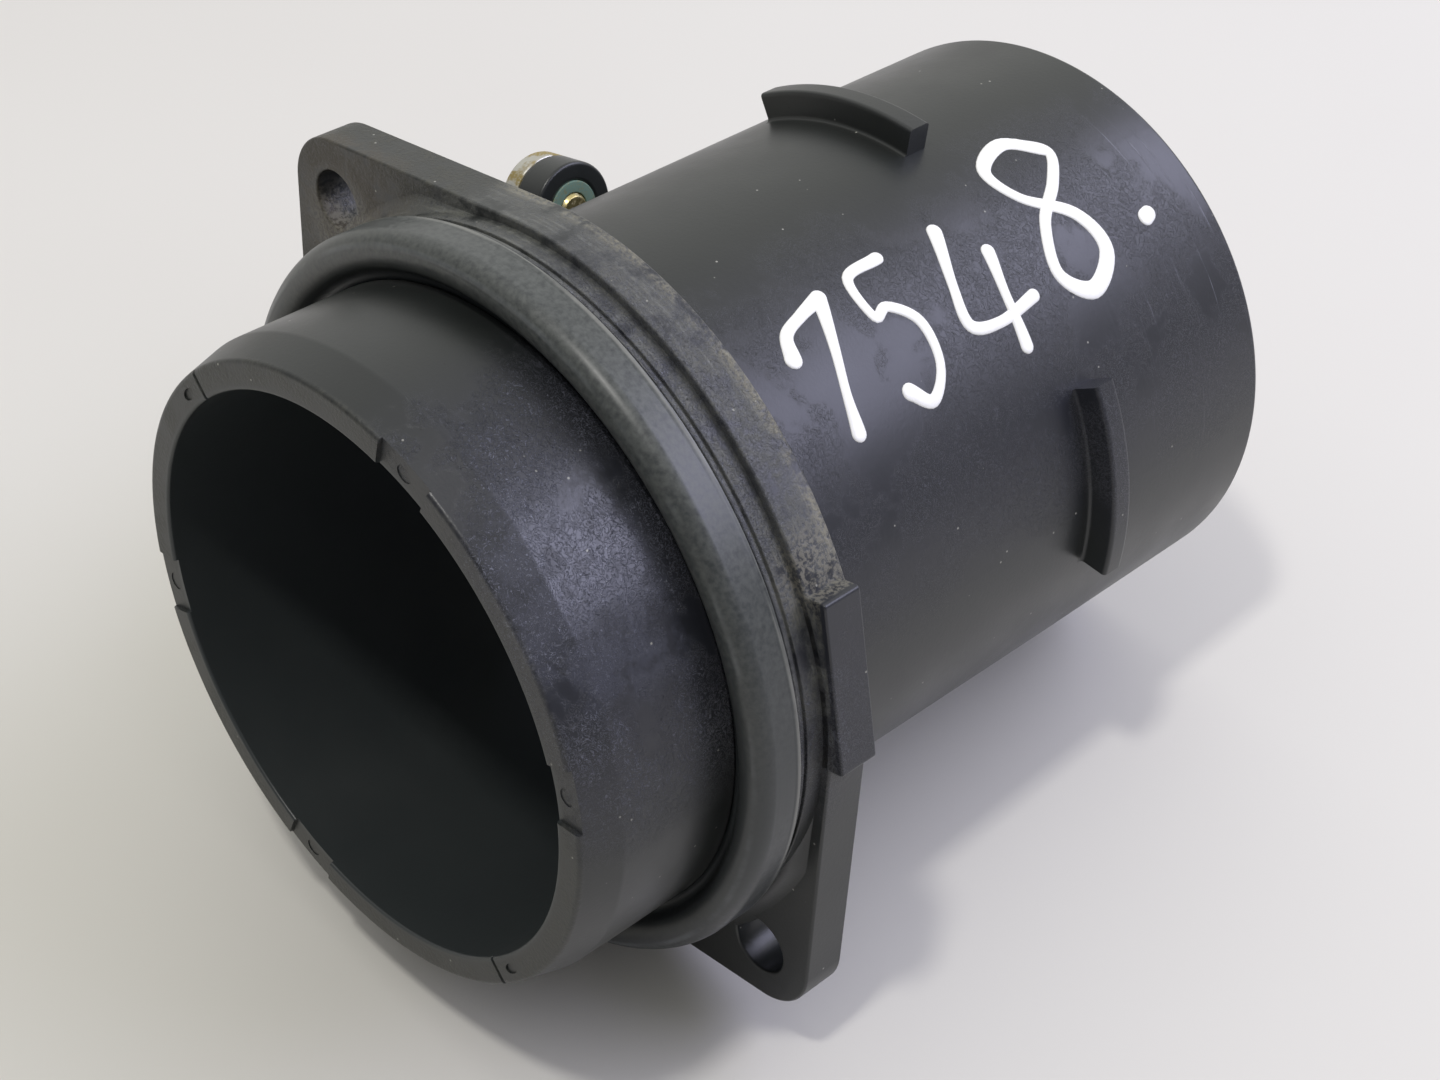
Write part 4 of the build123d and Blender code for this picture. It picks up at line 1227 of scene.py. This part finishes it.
for name, finish in node_finishes.items():
    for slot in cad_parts[name].material_slots:
        slot.material = finish
print("finished nodes:", len(node_finishes))

# %% [markdown]
# ## Table and light
# The sensor lies on a matt pale table, tilted so that it meets the flange's edge and the lowest
# hose stop, as the sensor settles on them. One small lamp high in front gives the clear shadow
# inside the bore, and a wide cool window behind and to the right draws the long sheen. The
# room is brighter behind to the left than in front to the right.

# %% Table, backdrop and lights
FLOOR_TILT, FLOOR_HALF, FLOOR_GAP = 4.95, 9, 0.02
floor_material, tree, shader = new_material("matt_pale_table")
shade = noise(tree, add(tree, "ShaderNodeTexCoord").outputs["Object"], 9.0, 2.0)
table_colour = painted_over(tree, shade, linear("#dddbd5"), "#d7d4ce")
feed(tree, shader, Base_Color=table_colour, Roughness=0.75)
floor_data = bpy.data.meshes.new("table_top")
corners = [(x * FLOOR_HALF, y * FLOOR_HALF, 0) for x, y in ((-1, -1), (1, -1), (1, 1), (-1, 1))]
floor_data.from_pydata(corners, [], [(0, 1, 2, 3)])
floor_data.materials.append(floor_material)
floor = bpy.data.objects.new("table_top", floor_data)
tilt = Matrix.Rotation(math.radians(FLOOR_TILT), 4, "X")
normal = tilt @ Vector((0, 0, 1))
lowest = Vector((0, FLANGE_THICKNESS * MM, -FLANGE_RADIUS * MM))
floor.matrix_world = Matrix.Translation(lowest - normal * FLOOR_GAP * MM) @ tilt
scene.collection.objects.link(floor)

world = bpy.data.worlds.new("studio")
scene.world = world
world.use_nodes = True
tree = world.node_tree
direction = add(tree, "ShaderNodeTexCoord").outputs["Generated"]
bright_side = Vector((-0.35, 0.45, 0.82)).normalized()
room = zone(tree, towards(tree, direction, bright_side), -0.2, 0.9)
room_colour = painted_over(tree, room, linear("#76767c"), "#f4f4ef")
feed(tree, tree.nodes["Background"], Color=room_colour, Strength=1.0)


def area_lamp(name, place, size, power, colour):
    """Soft lamp at a place, aimed at the object."""
    lamp_data = bpy.data.lights.new(name, "AREA")
    lamp_data.shape, lamp_data.size, lamp_data.size_y = "RECTANGLE", size[0], size[1]
    lamp_data.energy, lamp_data.color = power, linear(colour)[:3]
    lamp = bpy.data.objects.new(name, lamp_data)
    lamp.location = place
    lamp.rotation_euler = (-Vector(place)).to_track_quat("-Z", "Y").to_euler()
    scene.collection.objects.link(lamp)
    return lamp


area_lamp("ceiling_lamp", (0.03, -0.35, 0.94), (0.08, 0.08), 2.8, "#fffdf8")
area_lamp("window", (0.36, 0.52, 0.57), (0.95, 0.34), 4.6, "#dcddff")
scene.view_settings.view_transform = "Standard"
print("table, sky and two lamps")
